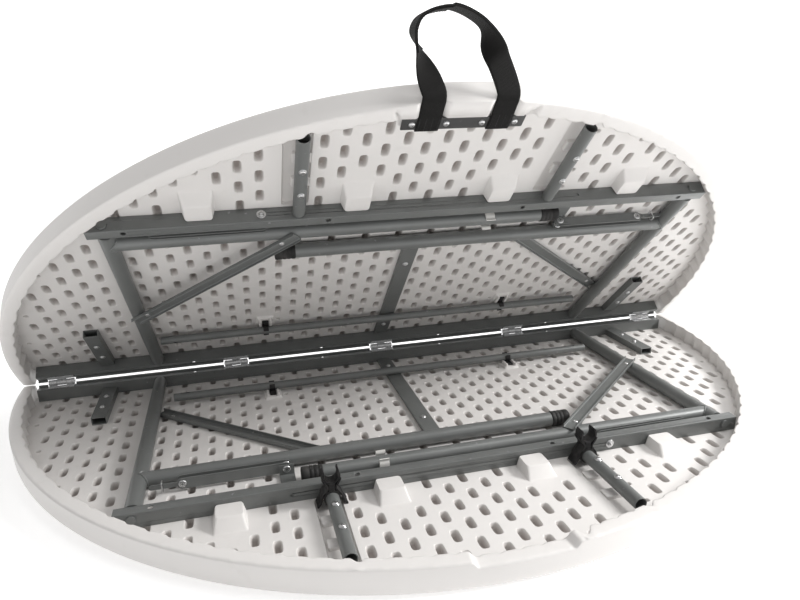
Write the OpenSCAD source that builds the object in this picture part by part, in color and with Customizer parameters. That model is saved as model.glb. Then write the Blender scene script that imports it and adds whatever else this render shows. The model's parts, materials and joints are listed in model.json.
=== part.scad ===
// Round bi-fold table, lying half open on its lower half.
// Plan frame of a half: x along the fold, s away from the fold, h up from the table's face.

/* [Table top] */
// Radius of the round top
top_radius = 762; // [700:1:800]
// Depth of each half, face to rim
rim_depth = 43; // [40:1:48]
// Width of the rim's flat edge
rim_width = 21; // [16:1:28]
// Thickness of the moulded field between the rims
field_depth = 12; // [11:0.5:12.2]
// Angle between the two halves at rest
fold_angle = 43.5; // [30:0.5:70]

/* [Rails] */
// Distance from the fold to the outer rail's web
outer_rail_s = 525; // [500:1:530]
// Distance from the fold to the hinge rail's web
hinge_rail_s = 21; // [19:1:26]
// Width of the rails' flanges
rail_flange = 18; // [14:1:18]
// Height of the rails' top above the face
rail_top = 37; // [35:0.5:37.5]
// Sheet thickness of rails and brackets
sheet = 2; // [1.5:0.1:2]

/* [Legs] */
// Outer diameter of leg and pivot tubes
leg_d = 25; // [22:0.5:25]
// Height of the pivot axis above the face
pivot_h = 26; // [25.5:0.1:26]
// Distance of the pivots from the centre line
pivot_x = 492; // [480:1:500]
// Length of a leg from its pivot to the end of its foot
leg_length = 738; // [700:1:745]
// Distance of the inner leg from the fold
inner_leg_s = 419; // [410:1:419]
// Distance of the outer leg from the fold
outer_leg_s = 478; // [476:1:479]
// Distance from the pivot to the stay's two lugs
stay_reach = 226; // [220:1:230]

/* [Stiffeners] */
// Diameter of the edge posts
post_d = 20; // [18:0.5:20]
// Distance of the posts from the centre line
post_x = 209; // [200:1:215]
// Distance of the end stubs from the centre line
stub_x = 593; // [585:1:600]
// Diameter of the loose tie bar
tie_d = 16; // [14:0.5:16]
// Half of the tie bar's length
tie_half = 458; // [440:1:460]

/* [Handle] */
// Width of the webbing strap
strap_width = 38; // [30:1:40]
// Distance between the strap's two feet
strap_span = 100; // [90:1:110]
// Height of the strap's loop over the rim
strap_rise = 115; // [95:1:160]

/* [Hidden] */
$fn = 64;

fold_gap = 0.6;
wall = 1.6;
fit = 0.05;
gap = 0.3;
steel = "gray";
plastic = "whitesmoke";
nylon = "#202020";

leg_r = leg_d / 2;
rail_foot = field_depth + 0.2;
rim_inner = top_radius - rim_width - 4;
hinge_rail_half = 733;
outer_rail_half = 516;
pin_r = 7;
hinge_xs = [-688, -331, 0, 331, 688];
knuckle_r = 6;
hinge_pin_r = 2.5;
knuckle_half = 25;
knuckle_mid = 9;
boss_xs = [-357, -119, 119, 357];
rail_slot_xs = [-465, -164, 164, 465];
hinge_hole_xs = [-420, -140, 140, 420];
post_h = 25;
post_end = 690;
post_screw_s = [580, 633];
strut_end = 402;
strut_top = field_depth + 7;
strut_screw_s = [68, 330];
stub_w = 27;
stub_h = 15;
stub_end = 167;
stub_screw_s = [69, 119];
tie_s = 120;
tie_h = strut_top + tie_d / 2 + 1;
tie_clip_x = 263;
tie_shift_upper = 14;
tie_hole_x = 430;
leg_clip_x = -115;
brace_w = 22;
inner_brace_from = [18, 164];
inner_brace_to = [291, 401];
outer_brace_from = [4, 249];
outer_brace_to = [270, 476];
foot_cap = 34;
foot_r = leg_r + 1.2;
stay_len = stay_reach / sqrt(2);
stay_r = 9;
stay_tail = 46;
stay_pin_r = 4;
bracket_w = 24;
latch_s = 530;
latch_w = 22;
handle_s = 711.5;
handle_half = 80;
notch_depth = 8;

// Lays children, drawn in the plan frame, out as the lower half.
module lower() mirror([0, 1, 0]) children();

// Lays children, drawn in the plan frame, out as the upper half at its rest angle.
module upper() translate([0, 0, rim_depth]) rotate([-fold_angle, 0, 0]) rotate([0, 180, 0])
    translate([0, 0, -rim_depth]) mirror([0, 1, 0]) children();

// Carries a leg drawn from its pivot along +x to the left pivot.
module at_left_pivot() translate([-pivot_x, 0, 0]) children();

// Carries a leg drawn from its pivot along +x to the right pivot, pointing back.
module at_right_pivot() translate([pivot_x, 0, 0]) mirror([1, 0, 0]) children();

module rod_x(r, x0, x1, s, h) translate([x0, s, h]) rotate([0, 90, 0]) cylinder(r = r, h = x1 - x0);
module rod_s(r, s0, s1, x, h) translate([x, s0, h]) rotate([-90, 0, 0]) cylinder(r = r, h = s1 - s0);
module rod_h(r, h0, h1, x, s) translate([x, s, h0]) cylinder(r = r, h = h1 - h0);
module block(x0, x1, s0, s1, h0, h1) translate([x0, s0, h0]) cube([x1 - x0, s1 - s0, h1 - h0]);

// Half-round moulded body: thick field, rounded rim, inner wall with draft.
module rim_profile() {
    polygon(concat(
        [[0, 0]],
        [for (a = [-90:15:0]) [top_radius - 10 + 10 * cos(a), 10 + 10 * sin(a)]],
        [for (a = [0:30:90]) [top_radius - 3 + 3 * cos(a), rim_depth - 3 + 3 * sin(a)]],
        [[top_radius - rim_width, rim_depth], [rim_inner, field_depth], [0, field_depth]]
    ));
}

module moulded_boss(x) {
    block(x - 20, x + 20, outer_rail_s + gap, outer_rail_s + 26, field_depth, 29);
    translate([x - 20, outer_rail_s + 26, 0]) rotate([90, 0, 90])
        linear_extrude(height = 40) polygon([[0, field_depth], [22, field_depth], [0, 29]]);
}

module post_cradle(x) difference() {
    block(x - 17, x + 17, 560, post_end - 12, field_depth, 19);
    rod_s(post_d / 2 + fit, 550, post_end, x, post_h);
}

module tie_pad(x) block(x - 16, x + 16, tie_s - 12, tie_s + 30, field_depth, 17);

module moulded_half(strap_seat) {
    difference() {
        union() {
            difference() {
                rotate_extrude(angle = 180, $fn = 180) rim_profile();
                block(-top_radius, top_radius, -1, fold_gap, -1, rim_depth + 1);
            }
            for (x = boss_xs) moulded_boss(x);
            for (x = [-post_x, post_x]) post_cradle(x);
            for (x = [-tie_clip_x, tie_clip_x]) tie_pad(x);
            if (strap_seat) block(-96, 96, handle_s + 2.5, top_radius - 14, field_depth, rim_depth - 1);
        }
        if (strap_seat) {
            for (side = [-1, 1])
                block(side * strap_span / 2 - 22, side * strap_span / 2 + 22, handle_s - 2,
                      top_radius + 5, rim_depth - notch_depth, rim_depth + 5);
        } else {
            block(-72, 76, rim_inner - 8, top_radius + 5, rim_depth - notch_depth, rim_depth + 5);
        }
        rod_h(12, rim_depth - 22, rim_depth + 5, 92, rim_inner + 6);
    }
}

module rail(half, web_s, slot_xs, slot_r) difference() {
    translate([-half, 0, 0]) rotate([90, 0, 90]) linear_extrude(height = 2 * half) difference() {
        translate([web_s - rail_flange, rail_foot]) square([rail_flange, rail_top - rail_foot]);
        translate([web_s - rail_flange - 1, rail_foot + sheet])
            square([rail_flange + 1 - sheet, rail_top - rail_foot - 2 * sheet]);
    }
    for (x = [-pivot_x, pivot_x]) rod_s(pin_r + fit, web_s - sheet - 1, web_s + 1, x, pivot_h);
    for (x = slot_xs) rod_h(slot_r, rail_top - sheet - 1, rail_top + 1, x, web_s - rail_flange / 2);
}

module hinge_rail() rail(hinge_rail_half, hinge_rail_s, hinge_hole_xs, 3.5);

module outer_rail() difference() {
    rail(outer_rail_half, outer_rail_s, rail_slot_xs, 4);
    for (x = [-489, -266, 266, 489]) rod_s(2.6, outer_rail_s - sheet - 1, outer_rail_s + 1, x, pivot_h - 2);
}

module centre_strut() difference() {
    block(-15, 15, hinge_rail_s + gap, strut_end, field_depth, strut_top);
    block(-15 + sheet, 15 - sheet, hinge_rail_s, strut_end + 1, field_depth - 1, strut_top - sheet);
}

module edge_post(x) difference() {
    rod_s(post_d / 2, outer_rail_s + gap, post_end, x, post_h);
    rod_s(post_d / 2 - wall, outer_rail_s, post_end + 1, x, post_h);
}

module end_stub(x) difference() {
    block(x - stub_w / 2, x + stub_w / 2, hinge_rail_s + gap, stub_end, field_depth, field_depth + stub_h);
    block(x - stub_w / 2 + wall, x + stub_w / 2 - wall, hinge_rail_s, stub_end + 1,
          field_depth + wall, field_depth + stub_h - wall);
}

// Leg frame, drawn from its pivot axis along +x.
module leg_tube(leg_s, stud_end) {
    difference() {
        rod_x(leg_r, 0, leg_length - 4, leg_s, pivot_h);
        rod_x(leg_r - wall, -1, leg_length, leg_s, pivot_h);
        rod_s(leg_r, 0, outer_rail_s, 0, pivot_h);
    }
    rod_s(stay_pin_r, leg_s + leg_r - wall / 2, stud_end, stay_reach, pivot_h);
}

module pivot_tube() {
    difference() {
        rod_s(leg_r, hinge_rail_s + 1.6, outer_rail_s - rail_flange - 2, 0, pivot_h);
        rod_s(leg_r - wall, hinge_rail_s + 3.6, outer_rail_s - rail_flange - 4, 0, pivot_h);
    }
    rod_s(pin_r, hinge_rail_s - 9, hinge_rail_s + 2, 0, pivot_h);
    rod_s(pin_r, outer_rail_s - rail_flange - 3, outer_rail_s + 3, 0, pivot_h);
}

// Channel strip between two plan points, open towards its lips.
module channel_strip(from, to, h0, h1, lips_up) {
    run = norm(to - from);
    translate([from[0], from[1], 0]) rotate([0, 0, atan2(to[1] - from[1], to[0] - from[0])]) difference() {
        block(-12, run + 12, -brace_w / 2, brace_w / 2, h0, h1);
        block(-13, run + 13, -brace_w / 2 + wall, brace_w / 2 - wall,
              lips_up ? h0 + wall : h0 - 1, lips_up ? h1 + 1 : h1 - wall);
    }
}

module inner_brace() difference() {
    channel_strip(inner_brace_from, inner_brace_to, field_depth + 1.5, field_depth + 9.5, true);
    rod_s(leg_r, 0, outer_rail_s, 0, pivot_h);
    rod_x(leg_r, -20, leg_length, inner_leg_s, pivot_h);
}

module outer_brace() channel_strip(outer_brace_from, outer_brace_to, pivot_h + leg_r + 0.1, 45, true);

module foot(leg_s) difference() {
    rod_x(foot_r, leg_length - foot_cap, leg_length, leg_s, pivot_h);
    rod_x(leg_r, leg_length - foot_cap - 1, leg_length - 4, leg_s, pivot_h);
}

// Flat bar of the folding stay: x0 and x1 are its pin centres, s0 its near side.
module stay_bar(x0, x1, s0, bar_w) difference() {
    union() {
        block(x0, x1, s0, s0 + sheet, pivot_h - bar_w / 2, pivot_h + bar_w / 2);
        for (x = [x0, x1]) rod_s(bar_w / 2, s0, s0 + sheet, x, pivot_h);
    }
    rod_s(stay_pin_r + fit, s0 - 1, s0 + sheet + 1, x1, pivot_h);
}

module stay_link(s0) stay_bar(stay_reach - stay_len, stay_reach, s0, 2 * stay_r);

module stay_arm(s0, knee_s) {
    knee_x = stay_reach - stay_len;
    stay_bar(knee_x, stay_reach, s0, 2 * stay_r);
    block(knee_x - stay_tail, knee_x - 4, s0, s0 + sheet, pivot_h - 4, pivot_h + 4);
    rod_s(4, s0, s0 + sheet, knee_x - stay_tail, pivot_h);
    rod_s(stay_pin_r, knee_s, s0 + sheet + 2, knee_x, pivot_h);
}

// Bracket on the outer rail: ear with the stay's fixed pin, foot plate and web tab.
module stay_bracket(ear_s, pin_s) {
    x0 = stay_reach - bracket_w / 2;
    x1 = stay_reach + bracket_w / 2;
    block(x0, x1, ear_s, ear_s + sheet, rail_foot + sheet, pivot_h + 7);
    block(x0, x1, ear_s, outer_rail_s - sheet - gap, rail_foot + sheet, rail_foot + 2 * sheet);
    block(x0, x1, outer_rail_s - 2 * sheet - gap, outer_rail_s - sheet - gap, rail_foot + sheet, pivot_h + 5);
    rod_s(stay_pin_r, pin_s, ear_s + sheet + 2, stay_reach, pivot_h);
}

inner_link_s = inner_leg_s + leg_r + 4.5;
inner_arm_s = inner_link_s + 10;
outer_link_s = outer_leg_s + leg_r + 1.5;
outer_arm_s = outer_link_s + 6;

module inner_stay_bracket() stay_bracket(inner_arm_s + 4, inner_arm_s - 2);
module inner_stay_arm() stay_arm(inner_arm_s, inner_link_s + 4);
module inner_stay_link() stay_link(inner_link_s);
module outer_stay_bracket() stay_bracket(outer_arm_s + 3, outer_arm_s - 1.2);
module outer_stay_arm() stay_arm(outer_arm_s, outer_link_s + 3);
module outer_stay_link() stay_link(outer_link_s);

module tie_bar(shift) difference() {
    rod_x(tie_d / 2, shift - tie_half, shift + tie_half, tie_s, tie_h);
    rod_x(tie_d / 2 - 1.4, shift - tie_half - 1, shift + tie_half + 1, tie_s, tie_h);
    for (x = [-tie_hole_x, tie_hole_x]) rod_h(3, tie_h - 20, tie_h + 20, x + shift, tie_s);
}

// Spring clip for the tie bar: ring open at the top, on a foot.
module tie_clip(x) difference() {
    union() {
        rod_x(tie_d / 2 + 2.6, x - 5, x + 5, tie_s, tie_h);
        block(x - 5, x + 5, tie_s - 7, tie_s + 22, 17, 20);
    }
    rod_x(tie_d / 2 + 0.15, x - 6, x + 6, tie_s, tie_h);
    block(x - 6, x + 6, tie_s - tie_d / 2 + 2, tie_s + tie_d / 2 - 2, tie_h, tie_h + 20);
}

module leg_clip_shape() for (side = [-1, 1])
    block(leg_clip_x - 8, leg_clip_x + 8, outer_leg_s + side * (leg_r + 1.8) - 1.5,
          outer_leg_s + side * (leg_r + 1.8) + 1.5, field_depth, pivot_h + 13);

// One half's knuckles and leaves: outer knuckles on the lower half, middle on the upper.
module leaf(x, middle) {
    spans = middle ? [[-knuckle_mid + gap, knuckle_mid - gap]]
                   : [[-knuckle_half, -knuckle_mid], [knuckle_mid, knuckle_half]];
    difference() {
        union() {
            for (span = spans) {
                rod_x(knuckle_r, x + span[0], x + span[1], 0, rim_depth);
                block(x + span[0], x + span[1], 0, 10, rim_depth - knuckle_r, rim_depth - knuckle_r + 1.8);
            }
            block(x - knuckle_half, x + knuckle_half, knuckle_r + 1, hinge_rail_s - 3,
                  rail_top, rail_top + 1.8);
        }
        rod_x(hinge_pin_r + fit, x - knuckle_half - 1, x + knuckle_half + 1, 0, rim_depth);
    }
}

module leaves(middle) for (x = hinge_xs) leaf(x, middle);

module screw_h(x, s, seat) {
    rod_h(4, seat, seat + 1.8, x, s);
    rod_h(2, seat - 12, seat, x, s);
}

module screw_set() {
    for (x = [-post_x, post_x], s = post_screw_s) screw_h(x, s, post_h + post_d / 2);
    for (x = [-stub_x, stub_x], s = stub_screw_s) screw_h(x, s, field_depth + stub_h);
    for (s = strut_screw_s) screw_h(0, s, strut_top);
    rod_s(2.5, outer_rail_s - 6, outer_rail_s, pivot_x - stay_reach, pivot_h - 2);
    rod_s(6, outer_rail_s, outer_rail_s + 1, pivot_x - stay_reach, pivot_h - 2);
    rod_s(4, outer_rail_s + 1, outer_rail_s + 3, pivot_x - stay_reach, pivot_h - 2);
}

// Snap clip on a lower post, with an open hook for the post that folds down on it.
module latch_clip(x) {
    hook_h = 2 * rim_depth - post_h;
    r = post_d / 2;
    difference() {
        union() {
            rod_s(r + 2.8, latch_s, latch_s + latch_w, x, post_h);
            block(x - 5, x + 5, latch_s, latch_s + latch_w, post_h + r, hook_h - r);
            rod_s(r + 3.6, latch_s, latch_s + latch_w, x, hook_h);
            block(x - r - 3.6, x + r + 3.6, latch_s, latch_s + latch_w, hook_h, hook_h + 12);
        }
        rod_s(r + fit, latch_s - 1, latch_s + latch_w + 1, x, post_h);
        rod_s(r + gap, latch_s - 1, latch_s + latch_w + 1, x, hook_h);
        block(x - r - gap, x + r + gap, latch_s - 1, latch_s + latch_w + 1, hook_h, hook_h + 30);
    }
}

module plate_shape() difference() {
    block(-handle_half, handle_half, handle_s - 2, handle_s, 15, 36);
    for (x = handle_screw_xs) rod_s(2.2, handle_s - 3, handle_s + 1, x, 25);
}

handle_screw_xs = [-72, -25, 25, 72];

module handle_screw_set() for (x = handle_screw_xs) {
    rod_s(4.2, handle_s - 4, handle_s - 2, x, 25);
    rod_s(2.1, handle_s - 2, handle_s + 10, x, 25);
}

// One webbing loop: two feet under the handle plate, over the rim, and up in a round arch.
module strap_loop() {
    over = rim_depth - notch_depth + 0.4;
    ring_r = strap_span / 2;
    for (side = [-1, 1]) {
        x = side * ring_r;
        block(x - strap_width / 2, x + strap_width / 2, handle_s, handle_s + 2.4, 16, over + 1.5);
        block(x - strap_width / 2 + 0.4, x + strap_width / 2 - 0.4, handle_s + 0.4, top_radius + 4, over, over + 2.5);
    }
    translate([0, top_radius + 2, over + 1]) rotate([180 + fold_angle, 0, 0]) {
        for (side = [-1, 1])
            translate([side * ring_r - strap_width / 2 + 0.8, -1.5, 0])
                cube([strap_width - 1.6, 3, strap_rise - ring_r + 4]);
        translate([0, 15, strap_rise - ring_r]) rotate([90, 0, 0]) linear_extrude(height = 30)
            polygon(concat([for (a = [0:15:180]) (ring_r + 1.2) * [cos(a), sin(a)]],
                           [for (a = [180:-15:0]) (ring_r - 1.2) * [cos(a), sin(a)]]));
    }
}

module lower_top() color(plastic) lower() moulded_half(false);
module lower_hinge_rail() color(steel) lower() hinge_rail();
module lower_outer_rail() color(steel) lower() outer_rail();
module lower_centre_strut() color(steel) lower() centre_strut();
module lower_post_left() color(steel) lower() edge_post(-post_x);
module lower_post_right() color(steel) lower() edge_post(post_x);
module lower_end_stubs() color(steel) lower() for (x = [-stub_x, stub_x]) end_stub(x);
module lower_inner_leg_tube() color(steel) lower() at_left_pivot() leg_tube(inner_leg_s, inner_link_s + 3);
module lower_inner_pivot_tube() color(steel) lower() at_left_pivot() pivot_tube();
module lower_inner_brace() color(steel) lower() at_left_pivot() inner_brace();
module lower_inner_foot() color(nylon) lower() at_left_pivot() foot(inner_leg_s);
module lower_outer_leg_tube() color(steel) lower() at_right_pivot() leg_tube(outer_leg_s, outer_link_s + 2.4);
module lower_outer_pivot_tube() color(steel) lower() at_right_pivot() pivot_tube();
module lower_outer_brace() color(steel) lower() at_right_pivot() outer_brace();
module lower_outer_foot() color(nylon) lower() at_right_pivot() foot(outer_leg_s);
module lower_inner_stay_bracket() color(steel) lower() at_left_pivot() inner_stay_bracket();
module lower_inner_stay_arm() color(steel) lower() at_left_pivot() inner_stay_arm();
module lower_inner_stay_link() color(steel) lower() at_left_pivot() inner_stay_link();
module lower_outer_stay_bracket() color(steel) lower() at_right_pivot() outer_stay_bracket();
module lower_outer_stay_arm() color(steel) lower() at_right_pivot() outer_stay_arm();
module lower_outer_stay_link() color(steel) lower() at_right_pivot() outer_stay_link();
module lower_tie_bar() color(steel) lower() tie_bar(0);
module lower_tie_bar_clips() color(nylon) lower() for (x = [-tie_clip_x, tie_clip_x]) tie_clip(x);
module lower_leg_clip() color(plastic) lower() leg_clip_shape();
module lower_hinge_leaves() color("silver") lower() leaves(false);
module lower_screws() color("silver") lower() screw_set();

module upper_top() color(plastic) upper() mirror([1, 0, 0]) moulded_half(true);
module upper_hinge_rail() color(steel) upper() hinge_rail();
module upper_outer_rail() color(steel) upper() outer_rail();
module upper_centre_strut() color(steel) upper() centre_strut();
module upper_post_left() color(steel) upper() edge_post(post_x);
module upper_post_right() color(steel) upper() edge_post(-post_x);
module upper_end_stubs() color(steel) upper() for (x = [-stub_x, stub_x]) end_stub(x);
module upper_inner_leg_tube() color(steel) upper() at_left_pivot() leg_tube(inner_leg_s, inner_link_s + 3);
module upper_inner_pivot_tube() color(steel) upper() at_left_pivot() pivot_tube();
module upper_inner_brace() color(steel) upper() at_left_pivot() inner_brace();
module upper_inner_foot() color(nylon) upper() at_left_pivot() foot(inner_leg_s);
module upper_outer_leg_tube() color(steel) upper() at_right_pivot() leg_tube(outer_leg_s, outer_link_s + 2.4);
module upper_outer_pivot_tube() color(steel) upper() at_right_pivot() pivot_tube();
module upper_outer_brace() color(steel) upper() at_right_pivot() outer_brace();
module upper_outer_foot() color(nylon) upper() at_right_pivot() foot(outer_leg_s);
module upper_inner_stay_bracket() color(steel) upper() at_left_pivot() inner_stay_bracket();
module upper_inner_stay_arm() color(steel) upper() at_left_pivot() inner_stay_arm();
module upper_inner_stay_link() color(steel) upper() at_left_pivot() inner_stay_link();
module upper_outer_stay_bracket() color(steel) upper() at_right_pivot() outer_stay_bracket();
module upper_outer_stay_arm() color(steel) upper() at_right_pivot() outer_stay_arm();
module upper_outer_stay_link() color(steel) upper() at_right_pivot() outer_stay_link();
module upper_tie_bar() color(steel) upper() tie_bar(tie_shift_upper);
module upper_tie_bar_clips() color(nylon) upper() for (x = [-tie_clip_x, tie_clip_x]) tie_clip(x);
module upper_leg_clip() color(plastic) upper() leg_clip_shape();
module upper_hinge_leaves() color("silver") upper() leaves(true);
module upper_screws() color("silver") upper() screw_set();

module fold_pins() color("silver") for (x = hinge_xs)
    rod_x(hinge_pin_r, x - knuckle_half - 1, x + knuckle_half + 1, 0, rim_depth);
module latch_clip_left() color(nylon) lower() latch_clip(-post_x);
module latch_clip_right() color(nylon) lower() latch_clip(post_x);
module handle_plate() color("dimgray") upper() plate_shape();
module handle_strap() color(nylon) upper() strap_loop();
module handle_screws() color("silver") upper() handle_screw_set();

lower_top();
lower_hinge_rail();
lower_outer_rail();
lower_centre_strut();
lower_post_left();
lower_post_right();
lower_end_stubs();
lower_inner_leg_tube();
lower_inner_pivot_tube();
lower_inner_brace();
lower_inner_foot();
lower_outer_leg_tube();
lower_outer_pivot_tube();
lower_outer_brace();
lower_outer_foot();
lower_inner_stay_bracket();
lower_inner_stay_arm();
lower_inner_stay_link();
lower_outer_stay_bracket();
lower_outer_stay_arm();
lower_outer_stay_link();
lower_tie_bar();
lower_tie_bar_clips();
lower_leg_clip();
lower_hinge_leaves();
lower_screws();
upper_top();
upper_hinge_rail();
upper_outer_rail();
upper_centre_strut();
upper_post_left();
upper_post_right();
upper_end_stubs();
upper_inner_leg_tube();
upper_inner_pivot_tube();
upper_inner_brace();
upper_inner_foot();
upper_outer_leg_tube();
upper_outer_pivot_tube();
upper_outer_brace();
upper_outer_foot();
upper_inner_stay_bracket();
upper_inner_stay_arm();
upper_inner_stay_link();
upper_outer_stay_bracket();
upper_outer_stay_arm();
upper_outer_stay_link();
upper_tie_bar();
upper_tie_bar_clips();
upper_leg_clip();
upper_hinge_leaves();
upper_screws();
fold_pins();
latch_clip_left();
latch_clip_right();
handle_plate();
handle_strap();
handle_screws();
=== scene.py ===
"""Looks of a round bi-fold table that lies half open on its lower half.

Shapes are worked out in the plan frame of a half, in millimetres: x along the fold, s away
from the fold and h up from the table's face. Plan.world() lays them out in the shared frame.
"""

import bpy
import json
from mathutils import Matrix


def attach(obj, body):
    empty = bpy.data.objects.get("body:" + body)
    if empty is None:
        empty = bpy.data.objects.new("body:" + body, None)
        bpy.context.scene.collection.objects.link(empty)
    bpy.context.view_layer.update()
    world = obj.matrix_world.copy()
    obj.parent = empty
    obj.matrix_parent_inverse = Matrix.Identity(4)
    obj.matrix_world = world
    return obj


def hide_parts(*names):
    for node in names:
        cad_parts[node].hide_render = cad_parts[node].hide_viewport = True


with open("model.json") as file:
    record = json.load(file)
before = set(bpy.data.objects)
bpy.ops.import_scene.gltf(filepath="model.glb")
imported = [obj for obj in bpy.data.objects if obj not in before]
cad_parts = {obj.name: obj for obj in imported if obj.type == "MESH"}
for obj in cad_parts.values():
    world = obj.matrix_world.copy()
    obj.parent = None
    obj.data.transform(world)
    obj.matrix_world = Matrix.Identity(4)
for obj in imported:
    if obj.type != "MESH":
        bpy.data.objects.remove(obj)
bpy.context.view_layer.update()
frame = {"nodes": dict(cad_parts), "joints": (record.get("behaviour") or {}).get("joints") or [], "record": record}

import json
import logging
import math
from dataclasses import dataclass
from enum import Enum

import bpy
import numpy as np
from mathutils import Matrix, Vector
from mathutils.geometry import delaunay_2d_cdt

MM = 0.001
log = logging.getLogger("table")


class Half(Enum):
    """The two halves of the table."""

    LOWER = "lower"
    UPPER = "upper"


class Axis(Enum):
    """The plan direction along which a shape is stacked, as the order of its columns."""

    X = (2, 0, 1)
    S = (1, 2, 0)
    H = (0, 1, 2)


# ---------------------------------------------------------------- surfaces


@dataclass
class Skin:
    """A closed surface, or several, in plan millimetres.

    Attributes:
        points: Corner points, one row each.
        faces: Corner numbers of each face, anticlockwise seen from outside.
        level: One number per point that a finish may read as the strength of painted shade; 0 is the plain
            surface.
    """

    points: np.ndarray
    faces: list
    level: np.ndarray = None

    def __post_init__(self) -> None:
        """Fill in a plain level where none is given."""
        if self.level is None:
            self.level = np.zeros(len(self.points))

    def moved(self, x: float = 0.0, s: float = 0.0, h: float = 0.0) -> "Skin":
        """Return the skin shifted by x, s and h."""
        return Skin(self.points + np.array([x, s, h]), self.faces, self.level)

    def turned(self, axis: Axis, degrees: float) -> "Skin":
        """Return the skin turned about a plan axis through the origin."""
        matrix = Matrix.Rotation(math.radians(degrees), 3, {"X": "X", "S": "Y", "H": "Z"}[axis.name])
        return Skin(self.points @ np.array(matrix).T, self.faces, self.level)

    def mirrored(self) -> "Skin":
        """Return the skin with x reversed and its faces still pointing outwards."""
        return Skin(self.points * np.array([-1, 1, 1]), [face[::-1] for face in self.faces], self.level)


def joined(skins: list) -> Skin:
    """Put several skins into one.

    Args:
        skins: The skins, in order.

    Returns:
        One skin that holds them all, not welded.
    """
    faces, start = [], 0
    for skin in skins:
        faces += [[corner + start for corner in face] for face in skin.faces]
        start += len(skin.points)
    return Skin(np.concatenate([s.points for s in skins]), faces, np.concatenate([s.level for s in skins]))


def unit(rows: np.ndarray) -> np.ndarray:
    """Return each row scaled to length 1."""
    return rows / np.linalg.norm(rows, axis=1, keepdims=True)


def run_along(path: np.ndarray) -> np.ndarray:
    """Return how far along its path each point lies."""
    return np.concatenate([[0], np.cumsum(np.linalg.norm(np.diff(path, axis=0), axis=1))])


def angles(count: int) -> np.ndarray:
    """Return count even angles round a circle."""
    return np.arange(count) * 2 * math.pi / count


def loft(rings: np.ndarray, closed: bool = False, axis: Axis = Axis.H) -> Skin:
    """Run a skin through a stack of rings.

    Ring i, point j joins ring i + 1, point j; the end rings are filled, or joined to each other.

    Args:
        rings: Array of rings by points by three coordinates, anticlockwise seen from the stack's end.
        closed: Whether the last ring joins the first.
        axis: Direction that the third coordinate stands for.

    Returns:
        The closed skin.
    """
    count, size, _ = rings.shape
    index = np.arange(count * size).reshape(count, size)
    above = np.roll(index, -1, axis=0) if closed else index[1:]
    below = index if closed else index[:-1]
    quads = np.stack([below, np.roll(below, -1, 1), np.roll(above, -1, 1), above], axis=-1)
    faces = quads.reshape(-1, 4).tolist()
    if not closed:
        faces += [index[0][::-1].tolist(), index[-1].tolist()]
    return Skin(rings.reshape(-1, 3)[:, axis.value], faces)


def rounded(half_x: float, half_y: float, corner: float, steps: int = 4) -> np.ndarray:
    """Outline of a rectangle with round corners.

    A point at angle t is its corner's centre, (half - corner) with the signs of cos t and sin t,
    plus corner times (cos t, sin t).

    Args:
        half_x: Half of the width.
        half_y: Half of the height.
        corner: Radius of the corners.
        steps: Points on each corner.

    Returns:
        Array of 4 * steps points.
    """
    quarter = np.linspace(0, math.pi / 2, steps)
    t = np.concatenate([quarter + k * math.pi / 2 for k in range(4)])
    sign = np.repeat([[1, 1], [-1, 1], [-1, -1], [1, -1]], steps, axis=0)
    centre = sign * np.array([half_x - corner, half_y - corner])
    return centre + corner * np.stack([np.cos(t), np.sin(t)], axis=1)


def superellipse(half_x: float, half_y: float, power: float, count: int) -> np.ndarray:
    """Outline where |x/half_x|^power + |y/half_y|^power = 1, as count points."""
    t = (np.arange(count) + 0.5) * 2 * math.pi / count
    cos, sin = np.cos(t), np.sin(t)
    x = half_x * np.sign(cos) * np.abs(cos) ** (2 / power)
    return np.stack([x, half_y * np.sign(sin) * np.abs(sin) ** (2 / power)], axis=1)


def block(x: tuple, s: tuple, h: tuple, corner: float = 1.5, edge: float = 0.8, axis: Axis = Axis.H) -> Skin:
    """Box with round corners and rounded end edges.

    Args:
        x: Lowest and highest x.
        s: Lowest and highest s.
        h: Lowest and highest h.
        corner: Radius of the corners across the stacking axis.
        edge: Rounding at the two ends of the stacking axis.
        axis: The stacking axis.

    Returns:
        The closed skin.
    """
    spans = np.array([x, s, h], float)
    order = [axis.value.index(k) for k in range(3)]
    u, v, w = spans[order[0]], spans[order[1]], spans[order[2]]
    bend = np.array([0.0, 0.4, 0.8, 1.0])
    inset = np.concatenate([edge * (1 - np.sqrt(1 - (1 - bend) ** 2)), edge * (1 - np.sqrt(1 - bend ** 2))])
    at = np.concatenate([w[0] + edge * bend, w[1] - edge * (1 - bend)])
    rings = []
    for shrink, level in zip(inset, at):
        half_u, half_v = (u[1] - u[0]) / 2 - shrink, (v[1] - v[0]) / 2 - shrink
        outline = rounded(half_u, half_v, max(min(corner, half_u, half_v) - shrink, 0.05))
        flat = outline + np.array([u.mean(), v.mean()])
        rings.append(np.column_stack([flat, np.full(len(flat), level)]))
    return loft(np.array(rings), axis=axis)


def lathe(profile: list, axis: Axis = Axis.H, count: int = 32, closed: bool = False) -> Skin:
    """Turn a profile about the stacking axis: each (radius, height) becomes one ring.

    Args:
        profile: Pairs of radius and height from the low end to the high end.
        axis: The axis it is turned about.
        count: Points on each ring.
        closed: Whether the last pair joins the first, for a ring-shaped body.

    Returns:
        The closed skin.
    """
    t = angles(count)
    radius, height = np.array(profile, float).T
    flat = radius[:, None, None] * np.stack([np.cos(t), np.sin(t)], axis=1)[None]
    level = np.broadcast_to(height[:, None, None], flat.shape[:2] + (1,))
    rings = np.concatenate([flat, level], axis=2)
    return loft(rings, closed, axis)


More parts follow.
